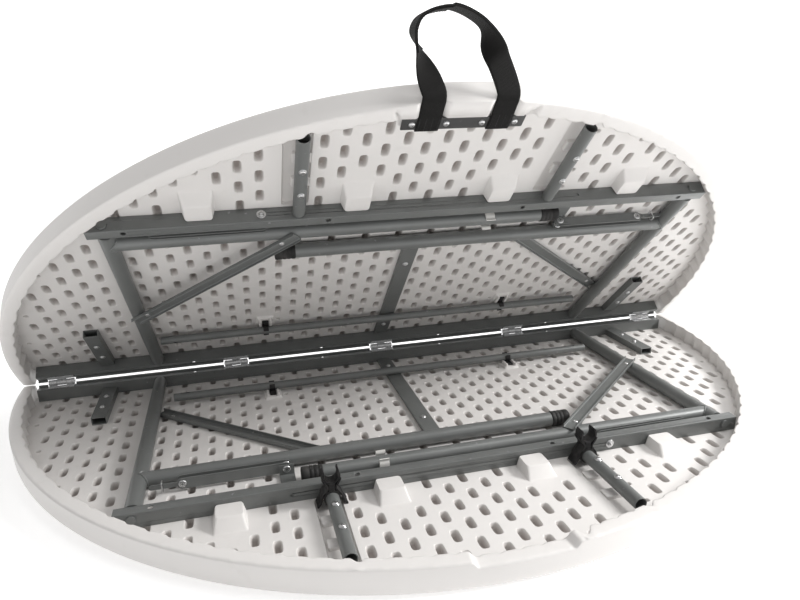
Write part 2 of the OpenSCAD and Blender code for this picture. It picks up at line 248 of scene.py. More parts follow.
def tube(path: np.ndarray, radius: float, count: int = 10, closed: bool = False) -> Skin:
    """Carry a circle along a path.

    Each ring stands square to the path: side = up x tangent and over = tangent x side.

    Args:
        path: Points of the path.
        radius: Radius of the tube, or one radius for each point.
        count: Points on each ring.
        closed: Whether the path closes on itself.

    Returns:
        The closed skin.
    """
    path = np.asarray(path, float)
    ahead, behind = np.roll(path, -1, 0), np.roll(path, 1, 0)
    tangent = unit(ahead - behind if closed else np.gradient(path, axis=0))
    spread = np.abs(tangent).sum(axis=0)
    up = np.eye(3)[int(np.argmin(spread))]
    side = unit(np.cross(up, tangent))
    over = np.cross(tangent, side)
    t = angles(count)
    reach = np.broadcast_to(np.asarray(radius, float), (len(path),))[:, None, None]
    cos, sin = np.cos(t)[None, :, None], np.sin(t)[None, :, None]
    rings = path[:, None] + reach * (cos * side[:, None] + sin * over[:, None])
    return loft(rings, closed)


def ribbon(path: np.ndarray, width, start: float, end: float, axis: Axis = Axis.S) -> Skin:
    """Bar of even depth whose outline runs along both sides of a flat path.

    A side lies half the width from the path along its normal; the outline is stacked from start to end.

    Args:
        path: Points of the path as pairs across the stacking axis.
        width: Width of the bar, or one width for each point.
        start: Where the bar begins on the stacking axis.
        end: Where it ends.
        axis: The stacking axis.

    Returns:
        The closed skin.
    """
    path = np.asarray(path, float)
    tangent = unit(np.gradient(path, axis=0))
    normal = np.stack([-tangent[:, 1], tangent[:, 0]], axis=1)
    half = np.broadcast_to(np.asarray(width, float), (len(path),))[:, None] / 2
    count = len(path)
    near = np.concatenate([path - half * normal, np.full((count, 1), start)], axis=1)
    far = np.concatenate([path + half * normal, np.full((count, 1), start)], axis=1)
    low = np.concatenate([near, far])
    high = low + np.array([0, 0, end - start])
    right, left = np.arange(count), np.arange(count) + count
    top = 2 * count
    faces = np.stack([left[:-1], left[1:], right[1:], right[:-1]], axis=1).tolist()
    faces += (np.stack([right[:-1], right[1:], left[1:], left[:-1]], axis=1) + top).tolist()
    faces += np.stack([right[:-1], right[1:], right[1:] + top, right[:-1] + top], axis=1).tolist()
    faces += np.stack([left[1:], left[:-1], left[:-1] + top, left[1:] + top], axis=1).tolist()
    faces.append([left[0], right[0], right[0] + top, left[0] + top])
    faces.append([right[-1], left[-1], left[-1] + top, right[-1] + top])
    return Skin(np.concatenate([low, high])[:, axis.value], [[int(c) for c in f] for f in faces])


def smooth(points: list, per: int = 8) -> np.ndarray:
    """Run a smooth line through given points.

    Between two points the line is the Catmull-Rom cubic of them and their neighbours.

    Args:
        points: The points, in order.
        per: Samples between two points.

    Returns:
        The samples, with the first and the last point.
    """
    p = np.array(points, float)
    p = np.concatenate([[2 * p[0] - p[1]], p, [2 * p[-1] - p[-2]]])
    a, b, c, d = p[:-3, None], p[1:-2, None], p[2:-1, None], p[3:, None]
    t = np.linspace(0, 1, per, endpoint=False)[None, :, None]
    curve = b + 0.5 * t * (c - a + t * (2 * a - 5 * b + 4 * c - d + t * (3 * (b - c) + d - a)))
    return np.concatenate([curve.reshape(-1, p.shape[1]), p[-2:-1]])


# ---------------------------------------------------------------- placing


@dataclass(frozen=True)
class Plan:
    """Where a half lies.

    Attributes:
        half: Which half it is.
        turn: Angle between the halves at rest, in radians.
        depth: Height of the fold axis above the lower face, in mm.
    """

    half: Half
    turn: float
    depth: float

    def world(self, points: np.ndarray) -> np.ndarray:
        """Lay plan points out in the shared frame.

        The lower half is (x, -s, h). The upper half turns back about the fold axis, at height depth.

        Args:
            points: Plan points in mm.

        Returns:
            Points in metres.
        """
        x, s, h = np.asarray(points, float).T
        if self.half is Half.LOWER:
            return np.stack([x, -s, h], axis=1) * MM
        lift = self.depth - h
        y = -s * math.cos(self.turn) + lift * math.sin(self.turn)
        z = self.depth + s * math.sin(self.turn) + lift * math.cos(self.turn)
        return np.stack([-x, y, z], axis=1) * MM

    def name(self, part: str) -> str:
        """Return the node or body name of a part of this half."""
        return f"{self.half.value}_{part}"


@dataclass
class Piece:
    """How a new piece is built into the scene.

    Attributes:
        name: Name of the object.
        skin: Its surface in the plan frame.
        plan: Where its half lies.
        body: Body that it rides on.
        slot: Material slot of the record; not used.
        finish: Material that it wears.
        replaces: Nodes that it stands for.
        bevel: Width of a live bevel in mm, or 0.
        smooth: Angle in degrees up to which faces shade as one.
    """

    name: str
    skin: Skin
    plan: Plan
    body: str
    slot: str
    finish: object
    replaces: tuple = ()
    bevel: float = 0.0
    smooth: float = 35.0

    def build(self) -> bpy.types.Object:
        """Make the object, dress it and join it to its body.

        Returns:
            The new object.
        """
        mesh = bpy.data.meshes.new(self.name)
        faces = [face[::-1] for face in self.skin.faces]
        mesh.from_pydata(self.plan.world(self.skin.points).tolist(), [], faces)
        mesh.update()
        # the level attribute carries the painted shade of recesses to the plastic finish
        level = mesh.attributes.new("level", "FLOAT", "POINT")
        level.data.foreach_set("value", self.skin.level.astype(np.float32))
        mesh.polygons.foreach_set("use_smooth", np.ones(len(mesh.polygons), bool))
        mesh.set_sharp_from_angle(angle=math.radians(self.smooth))
        thing = bpy.data.objects.new(self.name, mesh)
        bpy.context.scene.collection.objects.link(thing)
        mesh.materials.append(self.finish.material())
        if self.bevel:
            add_bevel(thing, self.bevel * MM, 2)
        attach(thing, self.body)
        if self.replaces:
            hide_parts(*self.replaces)
        log.info("%s: %d points on %s", self.name, len(mesh.vertices), self.body)
        return thing


def make(plan: Plan, name: str, skin: Skin, body: str, slot: str, finish: object, *nodes: str, **more: float):
    """Build a piece whose name, body and replaced nodes all begin with the half's name.

    Args:
        plan: Where the half lies.
        name: Name of the piece, like body and nodes without the half.
        skin: Its surface.
        body: Body that it rides on.
        slot: Material slot of the record.
        finish: Material that it wears.
        nodes: Nodes that it stands for.
        more: Bevel or smooth, as in Piece.

    Returns:
        The new object.
    """
    replaces = tuple(plan.name(node) for node in nodes)
    return Piece(plan.name(name), skin, plan, plan.name(body), slot, finish, replaces, **more).build()


def add_bevel(thing: bpy.types.Object, width: float, segments: int) -> None:
    """Round the sharp edges of an object with a live bevel of a width in metres."""
    bevel = thing.modifiers.new("edge rounding", "BEVEL")
    bevel.width = width
    bevel.segments = segments
    bevel.limit_method = "ANGLE"
    bevel.angle_limit = math.radians(38)
    bevel.harden_normals = True
    bevel.use_clamp_overlap = True


# ---------------------------------------------------------------- finishes


class Value:
    """A number or colour inside a material, which Python operators can work on."""

    def __init__(self, recipe: "Recipe", socket: bpy.types.NodeSocket) -> None:
        """Wrap the output socket of a node."""
        self.recipe = recipe
        self.socket = socket

    def _maths(self, operation: str, first: object, second: object) -> "Value":
        """Add one Math node and return its result."""
        return self.recipe.node("ShaderNodeMath", {"operation": operation}, {0: first, 1: second})

    def __add__(self, other: object) -> "Value":
        """Return self + other."""
        return self._maths("ADD", self, other)

    def __sub__(self, other: object) -> "Value":
        """Return self - other."""
        return self._maths("SUBTRACT", self, other)

    def __rsub__(self, other: object) -> "Value":
        """Return other - self."""
        return self._maths("SUBTRACT", other, self)

    def __mul__(self, other: object) -> "Value":
        """Return self * other."""
        return self._maths("MULTIPLY", self, other)

    def __truediv__(self, other: object) -> "Value":
        """Return self / other."""
        return self._maths("DIVIDE", self, other)

    def __pow__(self, other: object) -> "Value":
        """Return self to the power other."""
        return self._maths("POWER", self, other)

    __radd__ = __add__
    __rmul__ = __mul__

    def sine(self) -> "Value":
        """Return the sine of self."""
        return self._maths("SINE", self, 0.0)

    def size(self) -> "Value":
        """Return self without its sign."""
        return self._maths("ABSOLUTE", self, 0.0)


class Recipe:
    """One material as it is put together."""

    def __init__(self, name: str) -> None:
        """Start an empty material with a Principled shader."""
        self.made = bpy.data.materials.new(name)
        self.made.use_nodes = True
        self.tree = self.made.node_tree
        self.shader = self.tree.nodes["Principled BSDF"]

    def node(self, kind: str, settings: dict = None, inputs: dict = None, output: object = 0) -> Value:
        """Add a node.

        Args:
            kind: Type name of the node.
            settings: Properties that are set first; "stops" gives a ramp's two places and greys.
            inputs: Values or links of its sockets.
            output: Name or number of the output that is wanted.

        Returns:
            The wanted output.
        """
        made = self.tree.nodes.new(kind)
        for key, value in (settings or {}).items():
            if key == "stops":
                for stop, (place, grey) in zip(made.color_ramp.elements, value):
                    stop.position = place
                    stop.color = (grey, grey, grey, 1)
            else:
                setattr(made, key, value)
        for key, value in (inputs or {}).items():
            self.feed(made.inputs[key], value)
        return Value(self, made.outputs[output])

    def feed(self, socket: bpy.types.NodeSocket, value: object) -> None:
        """Link a Value to a socket, or set a plain value on it."""
        if isinstance(value, Value):
            self.tree.links.new(value.socket, socket)
        else:
            socket.default_value = value

    def place(self) -> Value:
        """Return the object coordinates."""
        return self.node("ShaderNodeTexCoord", output="Object")

    def noise(self, scale: float, detail: float = 2.0, where: Value = None) -> Value:
        """Return noise from 0 to 1 with about scale blobs in a metre."""
        inputs = {"Vector": where or self.place(), "Scale": scale, "Detail": detail}
        return self.node("ShaderNodeTexNoise", None, inputs)

    def speckle(self, scale: float, detail: float, low: float, high: float) -> Value:
        """Return sparse spots: noise that climbs from 0 at low to 1 at high."""
        stops = {"stops": [(low, 0.0), (high, 1.0)]}
        return self.node("ShaderNodeValToRGB", stops, {0: self.noise(scale, detail)})

    def blend(self, factor: object, first: object, second: object) -> Value:
        """Mix two colours by a factor."""
        inputs = {0: factor, 6: first, 7: second}
        return self.node("ShaderNodeMix", {"data_type": "RGBA"}, inputs, 2)

    def set(self, **sockets: object) -> None:
        """Set or link sockets of the shader, with _ for each space in a name."""
        for name, value in sockets.items():
            self.feed(self.shader.inputs[name.replace("_", " ")], value)

    def relief(self, height: Value, depth: float, strength: float = 1.0) -> None:
        """Give the surface a relief of a depth in metres."""
        inputs = {"Height": height, "Distance": depth, "Strength": strength}
        self.set(Normal=self.node("ShaderNodeBump", None, inputs))


MADE = {}


@dataclass(frozen=True)
class Finish:
    """A finish that is made into a material once.

    Attributes:
        title: Name of the material.
        tint: Linear base colour.
    """

    title: str
    tint: tuple

    def material(self) -> bpy.types.Material:
        """Return the material, made on the first call."""
        if self.title not in MADE:
            recipe = Recipe(self.title)
            self.mix(recipe)
            MADE[self.title] = recipe.made
        return MADE[self.title]

    def shade(self, share: float = 1) -> tuple:
        """Return the tint times a share, with full cover."""
        return (*(share * c for c in self.tint), 1)

    def mix(self, recipe: Recipe) -> None:
        """Build the nodes of the finish."""
        raise NotImplementedError


@dataclass(frozen=True)
class MouldedPlastic(Finish):
    """Satin blow-moulded polyethylene, a little duller in its recesses, with painted shade that makes them darker
    and warmer.

    Attributes:
        deep: Linear colour of the painted shade where level is 1.
        grain: Depth of the fine grain in metres.
    """

    deep: tuple = (0.23, 0.195, 0.175, 1)
    grain: float = 0.00012

    def mix(self, recipe: Recipe) -> None:
        """Mix the painted shade of the deep tint in by level, with a faint cloudiness and a fine grain."""
        level = recipe.node("ShaderNodeAttribute", {"attribute_name": "level"}, output="Fac")
        cloud = recipe.noise(9.0, 4.0)
        fresh = recipe.blend(cloud * 0.5, self.shade(), self.shade(0.93))
        scuff = recipe.speckle(42.0, 6.0, 0.62, 0.72)
        worn = recipe.blend(scuff * 0.10, fresh, (0.55, 0.52, 0.49, 1))
        # painted shade: the deep tint darkens pit floors, troughs and the rim wall's foot by level
        recipe.set(Base_Color=recipe.blend(level * 0.85, worn, self.deep))
        recipe.set(Roughness=0.40 + 0.12 * recipe.noise(160.0, 3.0) + 0.06 * level)
        fine = recipe.noise(1400.0, 2.0) + 0.6 * recipe.noise(320.0, 2.0)
        recipe.relief(fine, self.grain, 0.55)
        recipe.set(Specular_IOR_Level=0.45)


@dataclass(frozen=True)
class PowderCoat(Finish):
    """Powder coat over steel, with orange peel, faint streaks and small rubbed spots.

    Attributes:
        gloss: Middle of the roughness.
        bare: Linear colour of a rubbed spot.
    """

    gloss: float = 0.38
    bare: tuple = (0.42, 0.43, 0.43, 1)

    def mix(self, recipe: Recipe) -> None:
        """Mix two close greys by slow noise and add rubbed spots and orange peel."""
        slow = recipe.noise(14.0, 4.0)
        coat = recipe.blend(slow, self.shade(0.82), self.shade(1.16))
        spots = recipe.speckle(95.0, 5.0, 0.69, 0.74)
        recipe.set(Base_Color=recipe.blend(spots * 0.5, coat, self.bare))
        recipe.set(Roughness=self.gloss - 0.06 + 0.14 * recipe.noise(60.0, 4.0))
        recipe.set(Metallic=0.25)
        peel = recipe.noise(950.0, 2.0) + 0.5 * recipe.noise(2600.0, 1.0)
        recipe.relief(peel, 0.00010, 0.5)


@dataclass(frozen=True)
class Plating(Finish):
    """Bright zinc plating with a soft spangle."""

    def mix(self, recipe: Recipe) -> None:
        """Vary the tint by spangle cells and the roughness by noise."""
        where = {"Vector": recipe.place(), "Scale": 420.0}
        cells = recipe.node("ShaderNodeTexVoronoi", {"feature": "F1"}, where, "Color")
        spangle = recipe.node("ShaderNodeSeparateColor", None, {0: cells})
        recipe.set(Base_Color=recipe.blend(spangle, self.shade(0.78), self.shade()))
        recipe.set(Roughness=0.20 + 0.18 * recipe.noise(700.0, 3.0), Metallic=1.0)
        recipe.relief(recipe.noise(1800.0, 2.0), 0.00004, 0.4)


@dataclass(frozen=True)
class Nylon(Finish):
    """Moulded black nylon or rubber.

    Attributes:
        roughness: Middle of the roughness.
        pebble: Noise cells in a metre of the surface texture.
    """

    roughness: float = 0.48
    pebble: float = 1300.0

    def mix(self, recipe: Recipe) -> None:
        """Lift the black a little with dust and give it a spark-eroded texture."""
        dust = recipe.noise(70.0, 5.0) ** 3
        recipe.set(Base_Color=recipe.blend(dust * 1.6, self.shade(), (0.075, 0.072, 0.07, 1)))
        recipe.set(Roughness=self.roughness - 0.05 + 0.14 * recipe.noise(240.0, 3.0))
        recipe.relief(recipe.noise(self.pebble, 3.0), 0.00012, 0.6)
        recipe.set(Specular_IOR_Level=0.3)


@dataclass(frozen=True)
class Webbing(Finish):
    """Woven strap: u runs across and v along, both in millimetres.

    Attributes:
        yarn: Width of one yarn in mm.
        pick: Length of one stitch of the weave in mm.
    """

    yarn: float = 1.55
    pick: float = 1.25

    def mix(self, recipe: Recipe) -> None:
        """Raise each yarn by |sin| across and along, shifted by half a stitch on every other yarn, and paint shade
        into the grooves between yarns.
        """
        lay = recipe.node("ShaderNodeUVMap", {"uv_map": "UVMap"})
        uv = recipe.node("ShaderNodeSeparateXYZ", None, {0: lay})
        along = Value(recipe, uv.socket.node.outputs[1])
        across = uv * (math.pi / self.yarn)
        column = (across / 2).sine().size()
        stitch = (along * (math.pi / self.pick) + across).sine().size()
        weave = across.sine().size() ** 0.5 * (0.55 + 0.45 * stitch)
        fuzz = recipe.noise(2400.0, 3.0)
        # painted shade: the weave's height colours the grooves darker and the crowns lighter; fuzz and column vary
        # the yarn's own tone
        groove_shade_and_fuzz = weave * 0.7 + fuzz * 0.3 + column * 0.1
        recipe.set(Base_Color=recipe.blend(groove_shade_and_fuzz, (0.002, 0.002, 0.0022, 1), self.shade()))
        recipe.set(Roughness=0.72 + 0.2 * fuzz)
        recipe.relief(weave, 0.0006, 0.9)
        recipe.set(Sheen_Weight=0.04, Sheen_Roughness=0.45, Specular_IOR_Level=0.22)


@dataclass(frozen=True)
class StudioFloor(Finish):
    """Plain pale floor or backdrop with a soft glow of its own."""

    glow: float = 0.38

    def mix(self, recipe: Recipe) -> None:
        """Almost even white."""
        even = recipe.blend(recipe.noise(1.2, 2.0) * 0.3, self.shade(), self.shade(0.985))
        recipe.set(Base_Color=even, Roughness=0.85)
        recipe.set(Emission_Color=(1.0, 1.0, 1.0, 1), Emission_Strength=self.glow)


WHITE = MouldedPlastic("white polyethylene", (0.76, 0.742, 0.725))
CLIP_WHITE = MouldedPlastic("white clip plastic", (0.80, 0.79, 0.76), grain=0.00006)
GREY = PowderCoat("grey powder coat", (0.175, 0.183, 0.18))
DARK = PowderCoat("dark coat", (0.060, 0.060, 0.060), gloss=0.42, bare=(0.10, 0.10, 0.10, 1))
ZINC = Plating("zinc plating", (0.74, 0.745, 0.75))
NYLON = Nylon("black nylon", (0.010, 0.010, 0.011))
RUBBER = Nylon("black rubber", (0.014, 0.014, 0.014), roughness=0.62, pebble=700.0)
STRAP = Webbing("black webbing", (0.009, 0.0085, 0.008))
FLOOR = StudioFloor("studio floor", (0.93, 0.93, 0.93))
BACKDROP = StudioFloor("studio backdrop", (0.93, 0.93, 0.93), glow=0.66)


# ---------------------------------------------------------------- sizes shared with the frame


@dataclass(frozen=True)
class Layout:
    """Places in the plan frame that several sub-assemblies share, in mm."""

    radius: float = 762.0
    rim_depth: float = 43.0
    field: float = 12.0
    edge_gap: float = 0.6
    rail_s: float = 525.0
    post_x: float = 209.0
    post_h: float = 25.0
    post_r: float = 10.0
    post_end: float = 690.0
    post_screws: tuple = (580.0, 633.0)
    stub_x: float = 593.0
    stub_screws: tuple = (69.0, 119.0)
    stub_top: float = 27.0
    strut_top: float = 19.0
    strut_screws: tuple = (68.0, 330.0)
    boss_x: tuple = (-357.0, -119.0, 119.0, 357.0)
    pivot_x: float = 492.0
    pivot_h: float = 26.0
    leg_r: float = 12.5
    leg_length: float = 738.0
    inner_leg_s: float = 419.0
    outer_leg_s: float = 478.0
    stay_reach: float = 226.0
    tie_s: float = 120.0
    tie_h: float = 28.0
    tie_r: float = 8.0
    tie_clip_x: float = 263.0
    leg_clip_x: float = -115.0
    latch_s: float = 530.0
    latch_width: float = 22.0
    handle_s: float = 711.5
    strap_span: float = 100.0
    handle_screws: tuple = (-72.0, -25.0, 25.0, 72.0)


LAYOUT = Layout()


# ---------------------------------------------------------------- moulded tops


@dataclass
class Dent:
    """One island in the moulded field: a pit, a trough, a pad or a boss.

    Attributes:
        rings: Outlines from the field inwards, rings by points by (x, s, h).
        level: Painted shade level of each ring, as read by the finish.
    """

    rings: np.ndarray
    level: np.ndarray

    @property
    def reach(self) -> tuple:
        """Lowest and highest x and s of the outer ring."""
        flat = self.rings[0, :, :2]
        return flat.min(axis=0), flat.max(axis=0)


@dataclass
class MouldedTop:
    """Moulded half of the table top: face, rim, dimpled field and bosses, as one closed surface."""

    plan: Plan
    pitch_x: float = 29.6
    pitch_s: float = 44.4
    pit_half: tuple = (7.4, 14.2)
    pit_depth: float = 10.2
    pit_points: int = 20
    columns: int = 848
    flutes: int = 106
    flute_depth: float = 9.0
    flutes_from: float = 600.0
    flutes_blend: float = 60.0
    scallop_depth: float = 9.0
    wall_foot: float = 734.0
    wall_top: float = 739.0
    notch_depth: float = 8.0
    seam: float = 0.35
    seat_height: float = 34.1
    seat_half: float = 100.0
    seat_blend: float = 6.0
    face_round: float = 10.0

    def angle(self) -> np.ndarray:
        """Angles of the rim's columns, from +x round to -x."""
        return np.linspace(0, math.pi, self.columns + 1)

    def bite(self, x: np.ndarray, middle: float, radius: float, share: float) -> np.ndarray:
        """How far a half-round recess at middle moves the wall outwards: share * sqrt(r^2 - dx^2)."""
        return share * np.sqrt(np.clip(radius ** 2 - (x - middle) ** 2, 0, None))

    def seat(self, t: np.ndarray) -> np.ndarray:
        """Share of the handle plate's seat at each angle: 1 within it, 0 elsewhere and on the lower half."""
        inside = np.clip((self.seat_half - np.abs(LAYOUT.radius * np.cos(t))) / self.seat_blend, 0, 1)
        return inside * (self.plan.half is Half.UPPER)

    def foot(self, t: np.ndarray) -> np.ndarray:
        """Radius of the wall's foot: flutes |sin| deep, bites at posts, a flat seat at the handle."""
        layout = LAYOUT
        x = layout.radius * np.cos(t)
        flute = np.abs(np.sin(self.flutes * t / 2)) ** 0.7
        scallop = (0.5 + 0.5 * np.cos(2 * math.pi * x / self.pitch_x)) ** 0.8
        round_end = np.clip((np.abs(x) - self.flutes_from) / self.flutes_blend, 0, 1)
        flutes = self.flute_depth * flute * round_end
        scallops = self.scallop_depth * scallop * (1 - round_end)
        radius = self.wall_foot + flutes + scallops
        for side in (-1, 1):
            radius = radius + self.bite(self.wall_foot * np.cos(t), side * layout.post_x, 15, 0.35)
        straight = (layout.handle_s + 2.6) / np.maximum(np.sin(t), 0.2)
        radius = radius + (straight - radius) * self.seat(t)
        radius = radius + self.bite(x * 0.975, 92, 12, 0.95)
        return np.minimum(radius, layout.radius - 7)

    def top_edge(self, t: np.ndarray) -> np.ndarray:
        """Radius of the rim's inner top edge: nearly even, moved out in the recesses."""
        foot, seat = self.foot(t), self.seat(t)
        even = np.maximum(self.wall_top, foot - 1.5)
        return even * (1 - seat) + (foot + 1.5) * seat

    def rim_height(self, t: np.ndarray) -> np.ndarray:
        """Height of the rim, lower in its notches with soft shoulders."""
        x = LAYOUT.radius * np.cos(t)
        spans = [(-72, 76)] if self.plan.half is Half.LOWER else [(-72, -28), (28, 72)]
        drop = np.zeros_like(t)
        for low, high in spans:
            inside = np.clip((x - low) / 9, 0, 1) * np.clip((high - x) / 9, 0, 1)
            drop = np.maximum(drop, inside * inside * (3 - 2 * inside))
        drop = drop * (np.sin(t) > 0.5)
        return LAYOUT.rim_depth - self.seam - self.notch_depth * drop

    def rim(self) -> tuple:
        """Carry the rim's section round the half circle.

        Each station blends the foot radius, the top edge radius and the outer radius.

        Returns:
            Points as stations by columns by three, and the painted shade level of each station.
        """
        t = self.angle()
        foot, edge, height = self.foot(t), self.top_edge(t), self.rim_height(t)
        outer, field_h = np.full_like(t, LAYOUT.radius), LAYOUT.field
        seat = self.seat(t)
        ledge = height - seat * np.clip(height - self.seat_height, 0, None)
        rise = ledge - field_h
        # painted shade: level 0.15 at the wall's foot, fading to nothing up the wall
        stations = [(foot, field_h + 0 * t, 0.15)]
        wall = ((0.10, 0.03), (0.22, 0.12), (0.50, 0.45), (0.76, 0.80), (0.92, 0.93), (1.0, 0.975))
        for share, lift in wall:
            stations.append((foot + (edge - foot) * share, field_h + rise * lift, 0.12 * (1 - lift)))
        crest = ((1.6, 0.25, 1.6), (3.6, 0.0, 6.0), (9.0, -0.1, 13.0), (14.5, 0.0, 19.6), (17.0, 0.25, 20.8))
        for out, down, deep in crest:
            limit = np.minimum(edge + out * (1 - seat) + deep * seat, outer - 1.2 + out / 40)
            stations.append((limit, (ledge if out < 15 else height) - down, 0.0))
        for out, down in ((0.6, 1.2), (0.15, 2.4), (0.0, 4.0)):
            stations.append((outer - out, height - down, 0.0))
        turn = self.face_round
        for a in np.radians([0, 22, 45, 68, 90]):
            stations.append((outer - turn + turn * np.cos(a), turn - turn * np.sin(a) + 0 * t, 0.0))
        points = np.array([np.stack([r * np.cos(t), r * np.sin(t), h], axis=1) for r, h, _ in stations])
        points[..., 1] = np.maximum(points[..., 1], LAYOUT.edge_gap)
        return points, np.array([level for _, _, level in stations])

    def pit(self, x: float, s: float, half: tuple, depth: float) -> Dent:
        """Shape one pit from shrinking outlines.

        Args:
            x: Its middle.
            s: Its middle.
            half: Half of its width and length at the field.
            depth: Its depth.

        Returns:
            The dent.
        """
        power = 3.6 if half[1] > half[0] * 1.3 else 2.1
        rings = []
        steps = ((0.0, 0.0), (0.7, 0.03), (1.5, 0.17), (3.0, 0.68), (4.9, 1.0))
        for inset, share in steps:
            flat = superellipse(half[0] - inset, half[1] - inset, power, self.pit_points)
            rings.append(np.column_stack([flat + (x, s), np.full(len(flat), LAYOUT.field - depth * share)]))
        # painted shade: level grows from 0 at the lip to 1 on the pit's floor
        return Dent(np.array(rings), np.array([0.0, 0.04, 0.25, 0.70, 1.0]))

    def raised(self, x: float, s: tuple, half: tuple, rise: float, crest: float, corner: float = 4.0) -> Dent:
        """Shape a boss, pad or trough with flared sides.

        Ring k is a rounded rectangle; its width shrinks from the foot to the crest and its far
        side slopes from the foot's end to the crest's end.

        Args:
            x: Its middle.
            s: Near side, far side at the foot and far side at the crest.
            half: Half of its width at the foot and at the crest.
            rise: Height over the field; negative for a trough.
            crest: Extra rounding in mm where the crest begins.
            corner: Radius of its corners.

        Returns:
            The dent.
        """
        rings = []
        steps = ((0.0, 0.0), (0.12, 0.03), (0.24, 0.12), (0.82, 0.86), (0.93, 0.97), (1.0, 1.0))
        for share, lift in steps:
            far = s[1] + (s[2] - s[1]) * share
            width = half[0] + (half[1] - half[0]) * share - (crest * max(0.0, share - 0.8))
            near = s[0] + 2.0 * max(0.0, share - 0.8)
            flat = rounded(width, (far - near) / 2, corner, 5)
            flat = flat + (x, (far + near) / 2)
            rings.append(np.column_stack([flat, np.full(len(flat), LAYOUT.field + rise * lift)]))
        # painted shade: a trough's slopes and floor get level up to 0.18; bosses and pads get none
        level = np.zeros(6) if rise > 0 else np.array([0.0, 0.02, 0.08, 0.16, 0.18, 0.18])
        return Dent(np.array(rings), level)

    def islands(self) -> list:
        """Lay out bosses, troughs and pads, then pits wherever a pit has room."""
        layout = LAYOUT
        fixed = [self.raised(x, (layout.rail_s + 0.5, 578, 556), (25, 19.5), 17, 3) for x in layout.boss_x]
        for side in (-1, 1):
            x = side * layout.post_x
            trough = (layout.rail_s + 4, layout.post_end + 8, layout.post_end + 6)
            fixed.append(self.raised(x - 5, trough, (21, 18.5), -6.5, 1))
            pad = (layout.tie_s - 14, layout.tie_s + 34, layout.tie_s + 30)
            fixed.append(self.raised(side * layout.tie_clip_x, pad, (18, 15.5), 5, 1))
        boxes = np.array([np.concatenate(d.reach) for d in fixed])
        full, small = np.array(self.pit_half), np.array([5.6, 5.6])
        pits = []
        reach = int(layout.radius / self.pitch_x) + 1
        for k in range(-reach, reach + 1):
            for j in range(0, int(layout.radius / self.pitch_s) + 1):
                middle = np.array([k * self.pitch_x, (j + 0.5 * (k % 2)) * self.pitch_s])
                for half, depth, margin in ((full, self.pit_depth, 4.6), (small, 5.0, 1.4)):
                    if self.fits(middle, half, margin, boxes):
                        pits.append(self.pit(middle[0], middle[1], tuple(half), depth))
                        break
        return fixed + pits

    def fits(self, middle: np.ndarray, half: np.ndarray, margin: float, boxes: np.ndarray) -> bool:
        """Tell whether a pit keeps a margin from the wall, the fold edge and the fixed islands."""
        if middle[1] - half[1] < LAYOUT.edge_gap + margin:
            return False
        low, high = middle - half - margin, middle + half + margin
        if np.any(np.all((boxes[:, :2] < high) & (boxes[:, 2:] > low), axis=1)):
            return False
        corner = np.abs(middle) + half * (0.80 if half[1] > half[0] else 0.72)
        t = math.atan2(corner[1], corner[0] * np.sign(middle[0] or 1))
        wall = self.foot(t + np.linspace(-0.03, 0.03, 9)).min()
        return float(np.hypot(*corner)) + margin < float(wall)

    def skin(self) -> tuple:
        """Knit rim, field and islands together.

        The field between the wall's foot, the fold edge and the islands is a constrained
        triangulation; a triangle whose corners are all on one island is left to that island.

        Returns:
            The skin, the numbers of its flat points, and those of the outline of its smooth face.
        """
        rim, rim_shade = self.rim()
        stations, columns = rim.shape[:2]
        index = np.arange(stations * columns).reshape(stations, columns)
        quads = np.stack([index[:-1, :-1], index[1:, :-1], index[1:, 1:], index[:-1, 1:]], axis=-1)
        faces = quads.reshape(-1, 4).tolist()
        # the painted shade of rim and islands is gathered here, one number per point
        points, shade_levels = [rim.reshape(-1, 3)], [np.repeat(rim_shade, columns)]
        owner = [np.full(columns, -1)]
        flat_points = [np.arange(columns)]
        outline = [index[0]]
        start = stations * columns
        edges = [(i, i + 1) for i in range(columns - 1)] + [(columns - 1, 0)]
        seeds = [rim[0, :, :2]]
        first = columns
        for number, dent in enumerate(self.islands()):
            count, size = dent.rings.shape[:2]
            grid = np.arange(count * size).reshape(count, size) + start
            down, up = grid[:-1], grid[1:]
            ring = np.stack([down, np.roll(down, -1, 1), np.roll(up, -1, 1), up], axis=-1)
            faces += ring.reshape(-1, 4).tolist() + [grid[-1].tolist()]
            points.append(dent.rings.reshape(-1, 3))
            shade_levels.append(np.repeat(dent.level, size))
            outline.append(grid[0])
            flat_points += [grid[0], grid[-1]]
            seeds.append(dent.rings[0, :, :2])
            owner.append(np.full(size, number))
            edges += [(first + i, first + (i + 1) % size) for i in range(size)]
            first += size
            start += count * size
        seeds, owner, outline = np.concatenate(seeds), np.concatenate(owner), np.concatenate(outline)
        knit = delaunay_2d_cdt([Vector(p) for p in seeds.tolist()], edges, [], 0, 1e-5, True)
        source = np.array([ids[0] for ids in knit[3]])
        triangles = source[np.array(knit[2])]
        own = owner[triangles]
        same = (own[:, 0] == own[:, 1]) & (own[:, 1] == own[:, 2]) & (own[:, 0] >= 0)
        middle = seeds[triangles].mean(axis=1)
        t = np.arctan2(middle[:, 1], middle[:, 0])
        inside = np.hypot(*middle.T) < np.interp(t, self.angle(), np.hypot(*rim[0, :, :2].T))
        faces += outline[triangles[~same & inside]].tolist()
        face_edge = index[-1][::-1].tolist()
        fold_edge = index[:, 0][::-1].tolist() + index[:, -1].tolist()
        faces += [face_edge, fold_edge]
        flat_points = np.concatenate(flat_points)
        return Skin(np.concatenate(points), faces, np.concatenate(shade_levels)), flat_points, index[-1]

